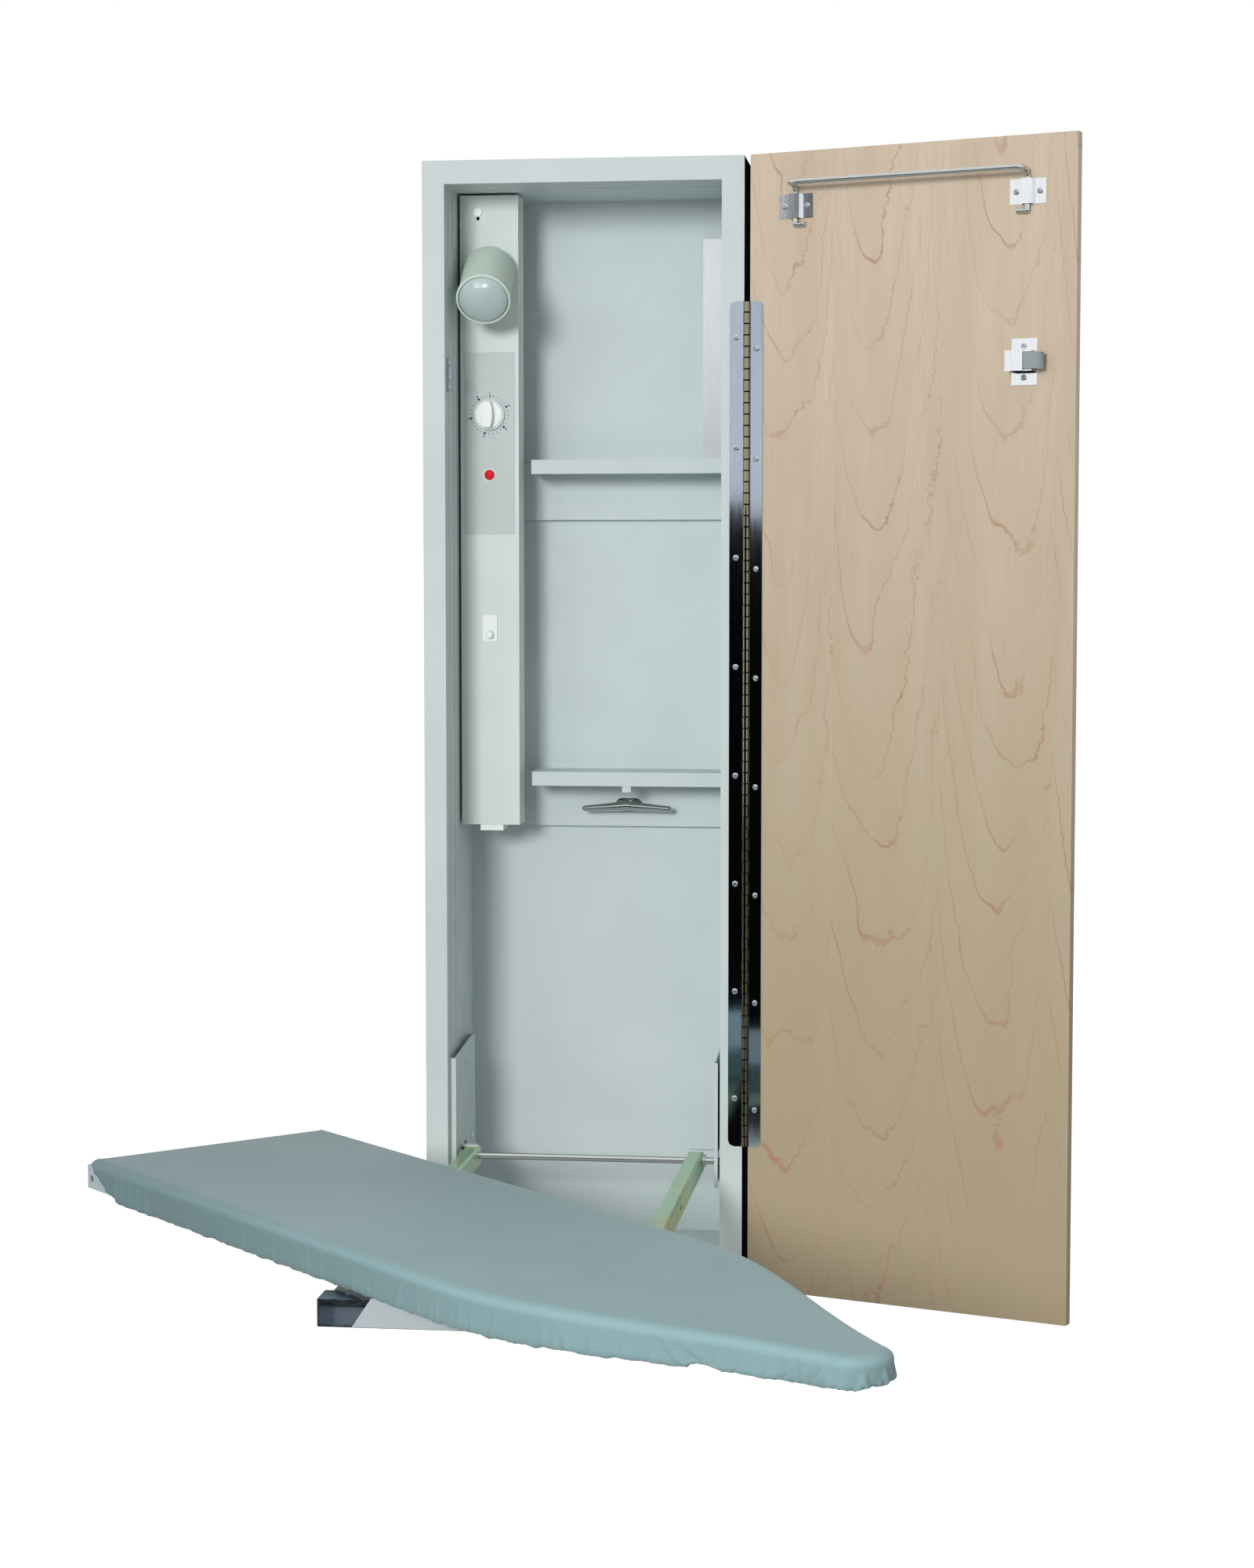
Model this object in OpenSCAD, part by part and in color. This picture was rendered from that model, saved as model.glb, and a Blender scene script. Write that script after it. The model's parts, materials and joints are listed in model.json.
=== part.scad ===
// Wall cabinet with a fold-down ironing board and a mirrored door on a piano hinge.
// Row frame: origin on the wall plane, midway between the two hanging holes.
// +X to the right, +Y into the wall, +Z up.

/* [Cabinet] */
// overall width of the face
cab_w = 368; // [350:1:390]
// overall height of the face
cab_h = 1288; // [1240:1:1340]
// depth from the face to the wall
cab_d = 183; // [180:1:195]
// width of the face flange at each side
side_flange = 25.5; // [24:0.5:27]
// width of the face flange at top and bottom
end_flange = 26.5; // [20:0.5:27]
// thickness of the folded cabinet sheet
sheet = 1.5; // [1.2:0.1:1.8]
// depth of the frame's return behind the face
return_depth = 72; // [68:1:80]
// thickness of the liner sheet
liner_t = 1.2; // [0.8:0.1:1.5]
// distance of the hanging holes below the top edge
hang_drop = 150; // [120:1:200]
// distance between the two hanging holes
hang_span = 280; // [270:1:286]
// radius of each hanging hole
hang_r = 3; // [2.5:0.1:4]

/* [Control box] */
// left edge of the control box, from the cabinet's left edge
box_x = 27; // [26:0.5:28]
// width of the control box
box_w = 69; // [68:0.5:72]
// distance of the box's front behind the face
box_front = 92; // [90:1:96]
// depth of the control box
box_depth = 38; // [36:1:42]
// top of the box below the cabinet's top
box_top = 27.5; // [27:0.5:30]
// height of the control box
box_h = 736; // [700:1:760]
// radius of the work light's can
ball_r = 30; // [27:0.5:30.5]
// length of the can ahead of its round back
can_len = 69; // [60:1:72]
// downward tilt of the work light
lamp_down = 33; // [26:1:40]
// turn of the work light towards the cabinet's middle
lamp_in = 3; // [0:1:5]
// height of the frosted bulb's dome
bulb_dome = 10; // [5:1:14]
// radius of the timer knob's skirt
knob_r = 18.3; // [16:0.1:20]
// radius of the timer's shaft
timer_shaft_r = 3; // [2.5:0.1:3.5]
// radius of the pilot light's lens
pilot_r = 6; // [5:0.1:6.5]
// radius of the cable inlet's bore
inlet_r = 8; // [6:0.1:9]

/* [Shelves] */
// left end of both shelves, from the cabinet's left edge
shelf_x = 108.5; // [105:0.5:120]
// distance of the shelf lips behind the face
shelf_front = 107; // [104:1:115]
// height of each shelf's front lip
lip_h = 16.5; // [12:0.5:20]
// top of the upper shelf below the cabinet's top
upper_c = 334; // [320:1:350]
// top of the lower shelf below the cabinet's top
lower_c = 701.5; // [680:0.5:720]
// height of the hat rail under each shelf
rail_h = 69; // [50:1:80]
// how far a rail stands off the back
rail_out = 10; // [8:0.5:14]
// overall length of the cord cleat
cleat_len = 109; // [90:1:120]

/* [Board mechanism] */
// radius of the cross rod
rod_r = 4; // [3.5:0.1:4.5]
// distance of the rod behind the face
rod_y = 34; // [30:1:36]
// distance of the rod below the cabinet's top
rod_c = 1148.1; // [1147.5:0.1:1149]
// width of each arm
arm_w = 18.5; // [16:0.5:19]
// height of each arm
arm_h = 22; // [20:0.5:23]
// left edge of the left arm
arm_x = 37; // [36.8:0.1:38]
// left edge of the right arm, from the cabinet's right edge
arm2_in = 67; // [66.5:0.5:68]
// front end of the arms, ahead of the face
arm_front = 695; // [680:1:720]
// distance of the swivel bolt ahead of the face
pivot_out = 599; // [595:1:610]
// radius of the swivel bolt
pivot_r = 6; // [5:0.1:7]

/* [Board] */
// overall length of the bare board
board_len = 1099; // [1080:1:1120]
// half width of the bare board
board_half = 147.5; // [140:0.5:148]
// length of the parallel part
board_straight = 680; // [640:1:720]
// half width where the nose rounding starts
nose_half = 30; // [26:0.5:40]
// length of the nose rounding
nose_len = 22; // [18:1:40]
// distance of the swivel bolt from the square end
pivot_back = 560; // [550:1:565]
// direction of the nose, degrees from +X
board_turn = -46; // [-50:1:-44]
// top of the bare deck below the cabinet's top
deck_c = 1101; // [1100:0.5:1102]
// height of the deck's apron
apron_h = 25; // [23:0.5:29]
// how much lower the apron is at the nose
apron_cut = 8.2; // [4:0.1:12]
// thickness of the felt pad
pad_t = 4.2; // [3:0.1:5]
// thickness of the cloth cover
cover_t = 1.2; // [1:0.1:1.5]
// height of the cover's skirt
skirt_h = 39.5; // [36:0.5:40]

/* [Door] */
// width of the door
door_w = 381; // [370:1:390]
// thickness of the wooden door panel
panel_t = 13; // [11:0.5:15]
// thickness of the mirror glass
mirror_t = 3; // [2:0.5:4]
// how far the door stands short of flat against the wall
door_rest = 19.6; // [15:0.1:25]
// hinge axis beyond the cabinet's right edge
hinge_gap = 3; // [2.8:0.1:3.5]
// outer radius of the hinge barrel
barrel_r = 3.5; // [3.4:0.05:3.6]
// radius of the hinge pin
hinge_pin_r = 1.5; // [1.2:0.05:1.6]
// thickness of a hinge leaf
leaf_t = 1.5; // [1.2:0.05:1.6]
// width of a hinge leaf from the axis
leaf_w = 19; // [17:0.5:20]
// length of one knuckle with its gap
knuckle_pitch = 12.64; // [12:0.02:12.8]
// number of knuckles on each leaf
knuckle_pairs = 38; // [36:1:38]
// top of the hinge below the cabinet's top
hinge_c = 162.6; // [150:0.2:180]
// distance between hinge screws
screw_pitch = 123.5; // [120:0.5:124]
// radius of the garment bar's wire
wire_r = 3; // [2.5:0.1:3.1]
// how far the garment bar stands off the door
bar_out = 27; // [24:1:34]

/* [Hidden] */
$fn = 48;
in_l = side_flange;
in_r = cab_w - side_flange;
lin_l = side_flange - sheet;
lin_r = cab_w - side_flange + sheet;
lin_t = end_flange - sheet;
lin_b = cab_h - end_flange + sheet;
back_y = cab_d - sheet;
box_x1 = box_x + box_w;
box_back = box_front + box_depth;
box_end = box_top + box_h;
box_mid = box_x + box_w / 2;
box_wall = 1.5;
label_t = 0.6;
label_half = box_w / 2 - 4.7;
outlet_x = box_mid + 1;
outlet_y = box_front + 18;
lamp_c = 118;
lamp_x = box_mid + 2.5;
lamp_y = box_front - ball_r / 2;
seat_r = ball_r + 0.45;
seat_t = 2;
can_wall = 1;
bulb_r = ball_r - can_wall - 0.5;
plunger_r = 4.5;
knob_c = 282;
pilot_c = 352;
switch_c = 531.5;
plug_c = 47;
inlet_x = 60;
inlet_y = 150;
shelf_t = 1.2;
web_l = 31.5;
web_r = cab_w - web_l;
arm2_x = cab_w - arm2_in;
web_t = 1.5;
web_top = 1021;
web_front = 12;
web_back = 140;
arm_top = 1139.5;
web_end = arm_top + 35.5;
arm_wall = 2;
arm_rear = 50;
run_gap = 0.07;
stack_c = arm_top - 2;
plate_c = stack_c - 2;
skin_gap = 0.3;
hinge_x = cab_w + hinge_gap;
face_v = barrel_r - 0.2;
leaf_v = face_v - leaf_t;
hinge_len = knuckle_pitch * 2 * knuckle_pairs;
notch_u = barrel_r + 0.4;
door_u1 = hinge_gap + door_w;
bar_c = 37.5;
clip_u = 59;
clip2_u = clip_u + 270;
clip_c = 47;
clip_h = 27;
catch_c = 241.5;
catch_u = 321.5;

// place a point given from the left edge, behind the face and below the top
function fx(a) = a - cab_w / 2;
function fy(b) = b - cab_d;
function fz(c) = hang_drop - c;

module block(x0, x1, y0, y1, c0, c1) {
  translate([fx(x0), fy(y0), fz(c1)]) cube([x1 - x0, y1 - y0, c1 - c0]);
}
module bar_x(r, x0, x1, y, c) {
  translate([fx(x0), fy(y), fz(c)]) rotate([0, 90, 0]) cylinder(r = r, h = x1 - x0);
}
module bar_y(r, x, y0, y1, c) {
  translate([fx(x), fy(y0), fz(c)]) rotate([-90, 0, 0]) cylinder(r = r, h = y1 - y0);
}
module bar_z(r, x, y, c0, c1) {
  translate([fx(x), fy(y), fz(c1)]) cylinder(r = r, h = c1 - c0);
}
// round-ended slot along X from (ya, ca) to (yb, cb)
module slot_x(r, x0, x1, ya, ca, yb, cb) {
  bar_x(r, x0, x1, ya, ca);
  bar_x(r, x0, x1, yb, cb);
  translate([fx(x0), fy(ya), fz(ca)]) rotate([atan2(ca - cb, yb - ya), 0, 0]) translate([0, 0, -r])
    cube([x1 - x0, norm([yb - ya, cb - ca]), 2 * r]);
}

// ---- cabinet shell ----
module case_sides() {
  color([0.05, 0.05, 0.05]) for (x = [0, cab_w - sheet]) block(x, x + sheet, sheet, cab_d, 0, cab_h);
}
module case_ends() {
  color([0.05, 0.05, 0.05]) difference() {
    for (c = [0, cab_h - sheet]) block(sheet, cab_w - sheet, sheet, cab_d, c, c + sheet);
    bar_z(inlet_r + 2.7, inlet_x, inlet_y, -1, sheet + 1);
  }
}

module frame_groove(y0, y1) {
  block(in_l - 0.7, in_r + 0.7, y0, y1, end_flange - 0.7, cab_h - end_flange + 0.7);
}
module face_frame() {
  color([0.88, 0.89, 0.85]) difference() {
    union() {
      block(0, cab_w, 0, sheet, 0, cab_h);
      block(lin_l, lin_r, 0, return_depth, lin_t, lin_b);
    }
    block(in_l, in_r, -1, return_depth + 1, end_flange, cab_h - end_flange);
    frame_groove(22.5, 25);
    frame_groove(52, 56);
    bar_x(2.2, lin_l - 1, in_l + 1, 45, 43);
  }
}
module liner_sides() {
  color([0.86, 0.87, 0.83]) for (x = [lin_l - liner_t, lin_r])
    block(x, x + liner_t, return_depth - 6, back_y, lin_t - liner_t, lin_b + liner_t);
}
module liner_ends() {
  color([0.86, 0.87, 0.83]) for (c = [lin_t - liner_t, lin_b])
    block(lin_l, lin_r, return_depth - 6, back_y, c, c + liner_t);
}
module back_panel() {
  color([0.86, 0.87, 0.83]) difference() {
    block(sheet, cab_w - sheet, back_y, cab_d, sheet, cab_h - sheet);
    for (s = [-1, 1])
      bar_y(hang_r, cab_w / 2 + s * hang_span / 2, back_y - 1, cab_d + 1, hang_drop);
    block(lin_l + 2, lin_r - 2, back_y - 1, back_y + 0.5, 1252, 1254);
  }
}

// ---- control box ----
module control_box() {
  color([0.9, 0.9, 0.87]) difference() {
    union() {
      block(box_x, box_x1, box_front, box_back, box_top, box_end);
      block(lin_l, box_x + 1, box_back - box_wall, box_back, box_top, box_end);
    }
    block(box_x + box_wall, box_x1 - box_wall, box_front + box_wall, box_back - box_wall,
      box_top + box_wall, box_end - box_wall);
    bar_y(ball_r * 0.8725 + 0.6, lamp_x, box_front - 1, box_front + 3, lamp_c);
    bar_y(timer_shaft_r + 1.5, box_mid, box_front - 1, box_front + 3, knob_c);
    bar_y(pilot_r + 0.3, box_mid, box_front - 1, box_front + 3, pilot_c);
    bar_y(3.2, box_mid - 13, box_front - 1, box_front + 3, plug_c);
    bar_y(2, box_mid - 13, box_front - 1, box_front + 3, plug_c + 7.2);
    bar_y(plunger_r + 0.3, box_mid, box_front - 1, box_front + 3, switch_c + 8);
    block(outlet_x - 10.8, outlet_x + 10.8, outlet_y - 10.3, outlet_y + 10.3, box_end - 5, box_end + 1);
  }
}
module wiring_box() {
  color([0.75, 0.76, 0.76]) difference() {
    block(box_x + 2, box_x + 51, box_back, back_y, box_end - 203.5, box_end - 63.5);
    block(box_x + 2 + box_wall, box_x + 51 - box_wall, box_back + box_wall, back_y + 1,
      box_end - 203.5 + box_wall, box_end - 63.5 - box_wall);
  }
}
module power_outlet() {
  color([0.93, 0.92, 0.88]) difference() {
    union() {
      block(outlet_x - 10.5, outlet_x + 10.5, outlet_y - 10, outlet_y + 10, box_end - 18, box_end);
      block(outlet_x - 13.8, outlet_x + 13.6, box_front + 2, box_back - 3, box_end, box_end + 7);
    }
    for (s = [-1, 1])
      block(outlet_x + s * 5.5 - 1, outlet_x + s * 5.5 + 1, outlet_y - 3, outlet_y + 4, box_end - 6, box_end + 8);
    bar_z(2.5, outlet_x, outlet_y - 6, box_end - 6, box_end + 8);
  }
}
module control_label() {
  color([0.62, 0.64, 0.64]) difference() {
    block(box_mid - label_half, box_mid + label_half, box_front - label_t, box_front,
      knob_c - 72.7, pilot_c + 69.3);
    bar_y(timer_shaft_r + 1.5, box_mid, box_front - 2, box_front + 1, knob_c);
    bar_y(pilot_r + 0.3, box_mid, box_front - 2, box_front + 1, pilot_c);
  }
}
module box_plug() {
  color([0.93, 0.93, 0.9]) {
    bar_y(4.9, box_mid - 13, box_front - 2, box_front, plug_c);
    bar_y(2.9, box_mid - 13, box_front - 0.5, box_front + 4, plug_c);
  }
}
// seat ring in front of the box that carries the work light's round back
module lamp_base() {
  color([0.85, 0.85, 0.82]) difference() {
    bar_y(ball_r + 2.2, lamp_x, box_front - seat_t, box_front, lamp_c);
    translate([fx(lamp_x), fy(lamp_y), fz(lamp_c)]) sphere(r = seat_r);
  }
}
// the lamp's own axis points out of its mouth along +Z here
module lamp_frame() {
  translate([fx(lamp_x), fy(lamp_y), fz(lamp_c)]) rotate([0, 0, lamp_in])
    rotate([90 + lamp_down, 0, 0]) children();
}
function arc_pts(r, h, a0, a1, n) = [for (i = [0:n]) let (a = a0 + (a1 - a0) * i / n) [r * cos(a), h * sin(a)]];
module lamp_shade() {
  in_r = ball_r - can_wall;
  color([0.88, 0.88, 0.84]) lamp_frame() rotate_extrude() polygon(concat(
    [[0, -ball_r]], arc_pts(ball_r, ball_r, -80, 0, 8),
    [[ball_r, can_len - 3.5], [ball_r + 1.3, can_len - 2.6], [ball_r + 1.3, can_len - 0.8],
      [ball_r + 0.4, can_len], [in_r, can_len]],
    arc_pts(in_r, in_r, 0, -80, 8), [[0, -in_r]]));
}
module lamp_bulb() {
  color([0.95, 0.95, 0.93]) lamp_frame() rotate_extrude() polygon(concat(
    [[0, 0.1 + can_wall - ball_r], [12, 4 - ball_r], [12, can_len - 40], [bulb_r, can_len - 12]],
    [for (p = arc_pts(bulb_r, bulb_dome, 0, 80, 8)) [p[0], p[1] + can_len - 3]],
    [[0, can_len - 3 + bulb_dome]]));
}
module timer_body() {
  color([0.3, 0.3, 0.32]) difference() {
    block(box_mid - 20, box_mid + 20, box_front + box_wall, box_back - 10, knob_c - 22, knob_c + 22);
    bar_y(timer_shaft_r + run_gap, box_mid, box_front, box_back - 15, knob_c);
  }
}
grip_half = 5.8;
module timer_knob() {
  knob_y = box_front - label_t - skin_gap;
  color([0.93, 0.93, 0.92]) {
    translate([fx(box_mid), fy(knob_y), fz(knob_c)]) rotate([90, 0, 0]) rotate_extrude() polygon([
      [0, 0], [knob_r, 0], [knob_r, 2.5], [knob_r - 1.2, 5], [knob_r - 3.5, 7], [0, 8.5]]);
    intersection() {
      translate([fx(box_mid), fy(knob_y), fz(knob_c)]) rotate([90, 0, 0]) linear_extrude(17) polygon(concat(
        [for (i = [-4:4]) [grip_half * (1 - i * i / 24), knob_r * i / 4]],
        [for (i = [4:-1:-4]) [-grip_half * (1 - i * i / 24), knob_r * i / 4]]));
      translate([fx(box_mid), fy(knob_y), fz(knob_c)]) rotate([90, 0, 0])
        cylinder(r1 = knob_r - 0.6, r2 = knob_r - 3.5, h = 18);
    }
    bar_y(timer_shaft_r, box_mid, knob_y - 4, box_back - 16, knob_c);
  }
}
module pilot_lamp() {
  color([0.8, 0.1, 0.05]) {
    translate([fx(box_mid), fy(box_front - 1.2), fz(pilot_c)]) sphere(r = pilot_r - 0.05);
    bar_y(pilot_r, box_mid, box_front - 1.2, box_front + 12, pilot_c);
  }
}
module pilot_bezel() {
  color([0.92, 0.92, 0.9]) difference() {
    bar_y(pilot_r + 1.5, box_mid, box_front - label_t - 1.4, box_front - label_t, pilot_c);
    bar_y(pilot_r + 0.3, box_mid, box_front - 4, box_front, pilot_c);
  }
}
module switch_plate() {
  color([0.85, 0.85, 0.82]) difference() {
    block(box_mid - 8.4, box_mid + 8.4, box_front - 1.5, box_front, switch_c - 15.6, switch_c + 15.6);
    bar_y(plunger_r + 0.3, box_mid, box_front - 3, box_front + 1, switch_c + 8);
  }
}
module switch_plunger() {
  color([0.93, 0.93, 0.92]) translate([fx(box_mid), fy(box_front + 9), fz(switch_c + 8)])
    rotate([90, 0, 0]) rotate_extrude() polygon(concat([[0, 0], [plunger_r, 0]],
      [for (p = arc_pts(plunger_r, 3, 0, 80, 5)) [p[0], p[1] + 14]], [[0, 17]]));
}
module cable_inlet() {
  color([0.2, 0.2, 0.21]) difference() {
    union() {
      bar_z(inlet_r + 6, inlet_x, inlet_y, -4, 0);
      bar_z(inlet_r + 2.5, inlet_x, inlet_y, -3, 12);
    }
    bar_z(inlet_r, inlet_x, inlet_y, -5, 13);
  }
}

// ---- shelves and back fittings ----
module shelf(c) {
  block(shelf_x, lin_r, shelf_front, back_y, c, c + shelf_t);
  block(shelf_x, lin_r, shelf_front, shelf_front + shelf_t, c, c + lip_h);
  block(shelf_x, shelf_x + shelf_t, shelf_front, back_y - rail_out, c, c + lip_h);
}
module rail(c) {
  block(lin_l, lin_r, back_y - rail_out, back_y - rail_out + shelf_t, c + shelf_t, c + rail_h);
  block(lin_l, lin_r, back_y - rail_out, back_y, c + shelf_t, c + 2 * shelf_t);
  block(lin_l, lin_r, back_y - rail_out, back_y, c + rail_h - shelf_t, c + rail_h);
}
module upper_shelf() {
  color([0.9, 0.91, 0.88]) shelf(upper_c);
}
module upper_rail() {
  color([0.88, 0.89, 0.86]) rail(upper_c);
}
module lower_shelf() {
  color([0.9, 0.91, 0.88]) shelf(lower_c);
}
module lower_rail() {
  color([0.88, 0.89, 0.86]) rail(lower_c);
}
shield_w = 36;
shield_out = 18;
shield_r = lin_r - 2;
shield_top = lin_t + 48;
module heat_shield() {
  color([0.7, 0.71, 0.72]) {
    block(shield_r - shield_w, shield_r, back_y - shield_out, back_y - shield_out + 1, shield_top, upper_c);
    block(shield_r - shield_w, shield_r - shield_w + 1, back_y - shield_out, back_y, shield_top, upper_c);
    block(shield_r - 1, shield_r, back_y - shield_out, back_y, shield_top, upper_c);
  }
}
module shelf_tab() {
  color([0.93, 0.93, 0.9]) {
    block(215.8, 226.4, shelf_front + shelf_t, shelf_front + 2 * shelf_t, lower_c + 6, lower_c + lip_h + 7.3);
  }
}
cleat_x = 216.5;
cleat_c = lower_c + 43;
cleat_y = back_y - rail_out;
module cord_cleat() {
  color([0.75, 0.75, 0.76]) difference() {
    union() {
      bar_y(8, cleat_x - 8, cleat_y - 3, cleat_y, cleat_c);
      bar_y(8, cleat_x + 8, cleat_y - 3, cleat_y, cleat_c);
      block(cleat_x - 8, cleat_x + 8, cleat_y - 3, cleat_y, cleat_c - 8, cleat_c + 8);
      bar_y(5, cleat_x, cleat_y - 20, cleat_y - 2, cleat_c);
      for (s = [-1, 1])
        translate([fx(cleat_x), fy(cleat_y - 20), fz(cleat_c)]) rotate([0, s * 94, 0])
          rotate_extrude() polygon([[0, -3], [5.8, -3], [5.6, 8], [4.2, 30], [3.6, cleat_len / 2 - 4],
            [2.4, cleat_len / 2 - 1], [0, cleat_len / 2]]);
    }
    for (s = [-1, 1])
      bar_y(2.1, cleat_x + s * 9.9, cleat_y - 4, cleat_y + 1, cleat_c);
  }
}
module cleat_screws() {
  color([0.7, 0.7, 0.7]) for (s = [-1, 1]) {
    bar_y(3.4, cleat_x + s * 9.9, cleat_y - 4.8, cleat_y - 3, cleat_c);
    bar_y(1.9, cleat_x + s * 9.9, cleat_y - 4, cleat_y, cleat_c);
  }
}
module catch_strike() {
  color([0.8, 0.8, 0.78]) difference() {
    union() {
      block(in_l, in_l + 1.5, 13, 22.3, 221.6, 260);
      block(in_l + 1, in_l + 4.5, 14, 21, 233, 245);
    }
    for (c = [227, 254.5])
      bar_x(1.7, in_l - 1, in_l + 3, 17.6, c);
  }
}
module strike_screws() {
  color([0.7, 0.7, 0.68]) for (c = [227, 254.5]) {
    bar_x(3, in_l + 1.5, in_l + 2.9, 17.6, c);
    bar_x(1.5, in_l, in_l + 2, 17.6, c);
  }
}

// ---- board brackets, rod and arms ----
fix_c = [web_top + 12, arm_top - 0.5];
module web_shape(x0) {
  translate([fx(x0), 0, 0]) rotate([90, 0, 90]) linear_extrude(web_t) polygon([
    [fy(web_front), fz(web_top + 9)], [fy(102), fz(web_top)], [fy(web_back), fz(web_top)],
    [fy(web_back), fz(web_end)], [fy(web_front), fz(web_end)]]);
}
module web_cuts(x0) {
  bar_x(rod_r + 0.05, x0 - 1, x0 + web_t + 1, rod_y, rod_c);
  block(x0 - 1, x0 + web_t + 1, 73, 77, web_top + 19, web_top + 29);
  for (k = [0, 1])
    bar_x(2.1, x0 - 1, x0 + web_t + 1, 110 + 3 * k, fix_c[k]);
  slot_x(4.5, x0 - 1, x0 + web_t + 1, rod_y + 15, arm_top + 7, rod_y + 42, arm_top + 2.5);
}
module bracket_left() {
  color([0.9, 0.9, 0.87]) difference() {
    union() {
      web_shape(web_l);
      block(in_l, web_l + web_t, web_front, web_front + web_t, web_top + 9, web_end);
      block(lin_l, web_l + web_t, web_back - web_t, web_back, web_top, web_end);
      block(web_l + 1, arm_x + arm_w - 2, 40, arm_rear - 1, arm_top - 2.2, arm_top - 0.2);
    }
    web_cuts(web_l);
  }
}
module bracket_right() {
  color([0.9, 0.9, 0.87]) difference() {
    union() {
      web_shape(web_r - web_t);
      block(web_r - web_t, web_r + 2.5, web_front, web_front + web_t, web_top + 9, web_end);
      block(web_r - web_t, lin_r, web_back - web_t, web_back, web_top, web_end);
      block(arm2_x + 2, web_r - 1, 40, arm_rear - 1, arm_top - 2.2, arm_top - 0.2);
    }
    web_cuts(web_r - web_t);
  }
}
module bracket_screws() {
  color([0.72, 0.7, 0.6]) for (k = [0, 1]) {
    bar_x(4, web_l + web_t, web_l + web_t + 2, 110 + 3 * k, fix_c[k]);
    bar_x(1.9, lin_l, web_l + web_t + 1, 110 + 3 * k, fix_c[k]);
    bar_x(4, web_r - web_t - 2, web_r - web_t, 110 + 3 * k, fix_c[k]);
    bar_x(1.9, web_r - web_t - 1, lin_r, 110 + 3 * k, fix_c[k]);
  }
}
module cross_rod() {
  color([0.75, 0.75, 0.76]) bar_x(rod_r, web_l - 4, web_r + 4.5, rod_y, rod_c);
}
module rod_collars() {
  color([0.7, 0.7, 0.7]) for (x = [web_l + web_t + 0.2, arm2_x + arm_w + 0.4]) difference() {
    bar_x(7, x, x + 3.2, rod_y, rod_c);
    bar_x(rod_r + 0.05, x - 1, x + 5, rod_y, rod_c);
  }
}
module arm(x0) {
  x1 = x0 + arm_w;
  w = arm_wall;
  difference() {
    translate([0, fy(arm_rear), fz(arm_top)]) rotate([90, 0, 0]) linear_extrude(arm_rear + ch_front - 34)
      polygon([[fx(x0), -arm_h], [fx(x0), -2.5], [fx(x0) + 2.5, 0], [fx(x1) - 2.5, 0],
        [fx(x1), -2.5], [fx(x1), -arm_h], [fx(x1) - w, -arm_h], [fx(x1) - w, -w - 1],
        [fx(x1) - w - 1, -w], [fx(x0) + w + 1, -w], [fx(x0) + w, -w - 1], [fx(x0) + w, -arm_h]]);
    bar_x(rod_r + run_gap, x0 - 1, x1 + 1, rod_y, rod_c);
  }
}
module arm_left() {
  color([0.72, 0.6, 0.32]) arm(arm_x);
}
module arm_right() {
  color([0.72, 0.6, 0.32]) difference() {
    arm(arm2_x);
    slot_x(2.5, arm2_x + arm_w - 3, arm2_x + arm_w + 1, -214, arm_top + 11, -202, arm_top + 11);
  }
}
ch_l = arm_x - 4;
ch_r = arm2_x + arm_w + 4;
ch_front = arm_front + 3;
ch_end = arm_top + arm_h;
module front_channel() {
  color([0.8, 0.8, 0.82]) difference() {
    block(ch_l, ch_r, -ch_front, -ch_front + 34, stack_c, ch_end + 2);
    block(ch_l + 2, ch_r - 2, -ch_front - 1, -ch_front + 32, arm_top, ch_end);
  }
}
pv_x = cab_w / 2;
module swivel_plate() {
  color([0.45, 0.47, 0.48]) difference() {
    union() {
      block(pv_x - 100, pv_x + 100, -ch_front - 2, -pivot_out + 70, plate_c, stack_c);
      translate([0, fy(-ch_front), 0]) rotate([90, 0, 0]) linear_extrude(2) polygon([
        [fx(pv_x - 100), fz(plate_c)], [fx(pv_x + 100), fz(plate_c)],
        [fx(pv_x + 118), fz(ch_end + 1)], [fx(pv_x - 118), fz(ch_end + 1)]]);
      block(arm_x, arm2_x + arm_w, -pivot_out + 40, -pivot_out + 70, stack_c, arm_top);
    }
    bar_z(pivot_r + 0.1, pv_x, -pivot_out, plate_c - 1, stack_c + 1);
  }
}
module pivot_bolt() {
  color([0.7, 0.7, 0.72]) {
    bar_z(pivot_r, pv_x, -pivot_out, deck_c + 5, stack_c + 3);
    bar_z(pivot_r + 5, pv_x, -pivot_out, stack_c, stack_c + 5);
    bar_z(pivot_r + 4, pv_x, -pivot_out, deck_c + 4, deck_c + 8.5);
  }
}
module swivel_hub() {
  color([0.55, 0.56, 0.57]) difference() {
    union() {
      bar_z(60, pv_x, -pivot_out, deck_c + 1.2, deck_c + 4);
      bar_z(34, pv_x, -pivot_out, deck_c + 1.2, plate_c - 0.2);
      bar_z(55, pv_x, -pivot_out, plate_c - 3.2, plate_c - 0.2);
    }
    bar_z(pivot_r + run_gap, pv_x, -pivot_out, deck_c, plate_c + 1);
    bar_z(pivot_r + 5, pv_x, -pivot_out, deck_c, deck_c + 9);
  }
}

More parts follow.
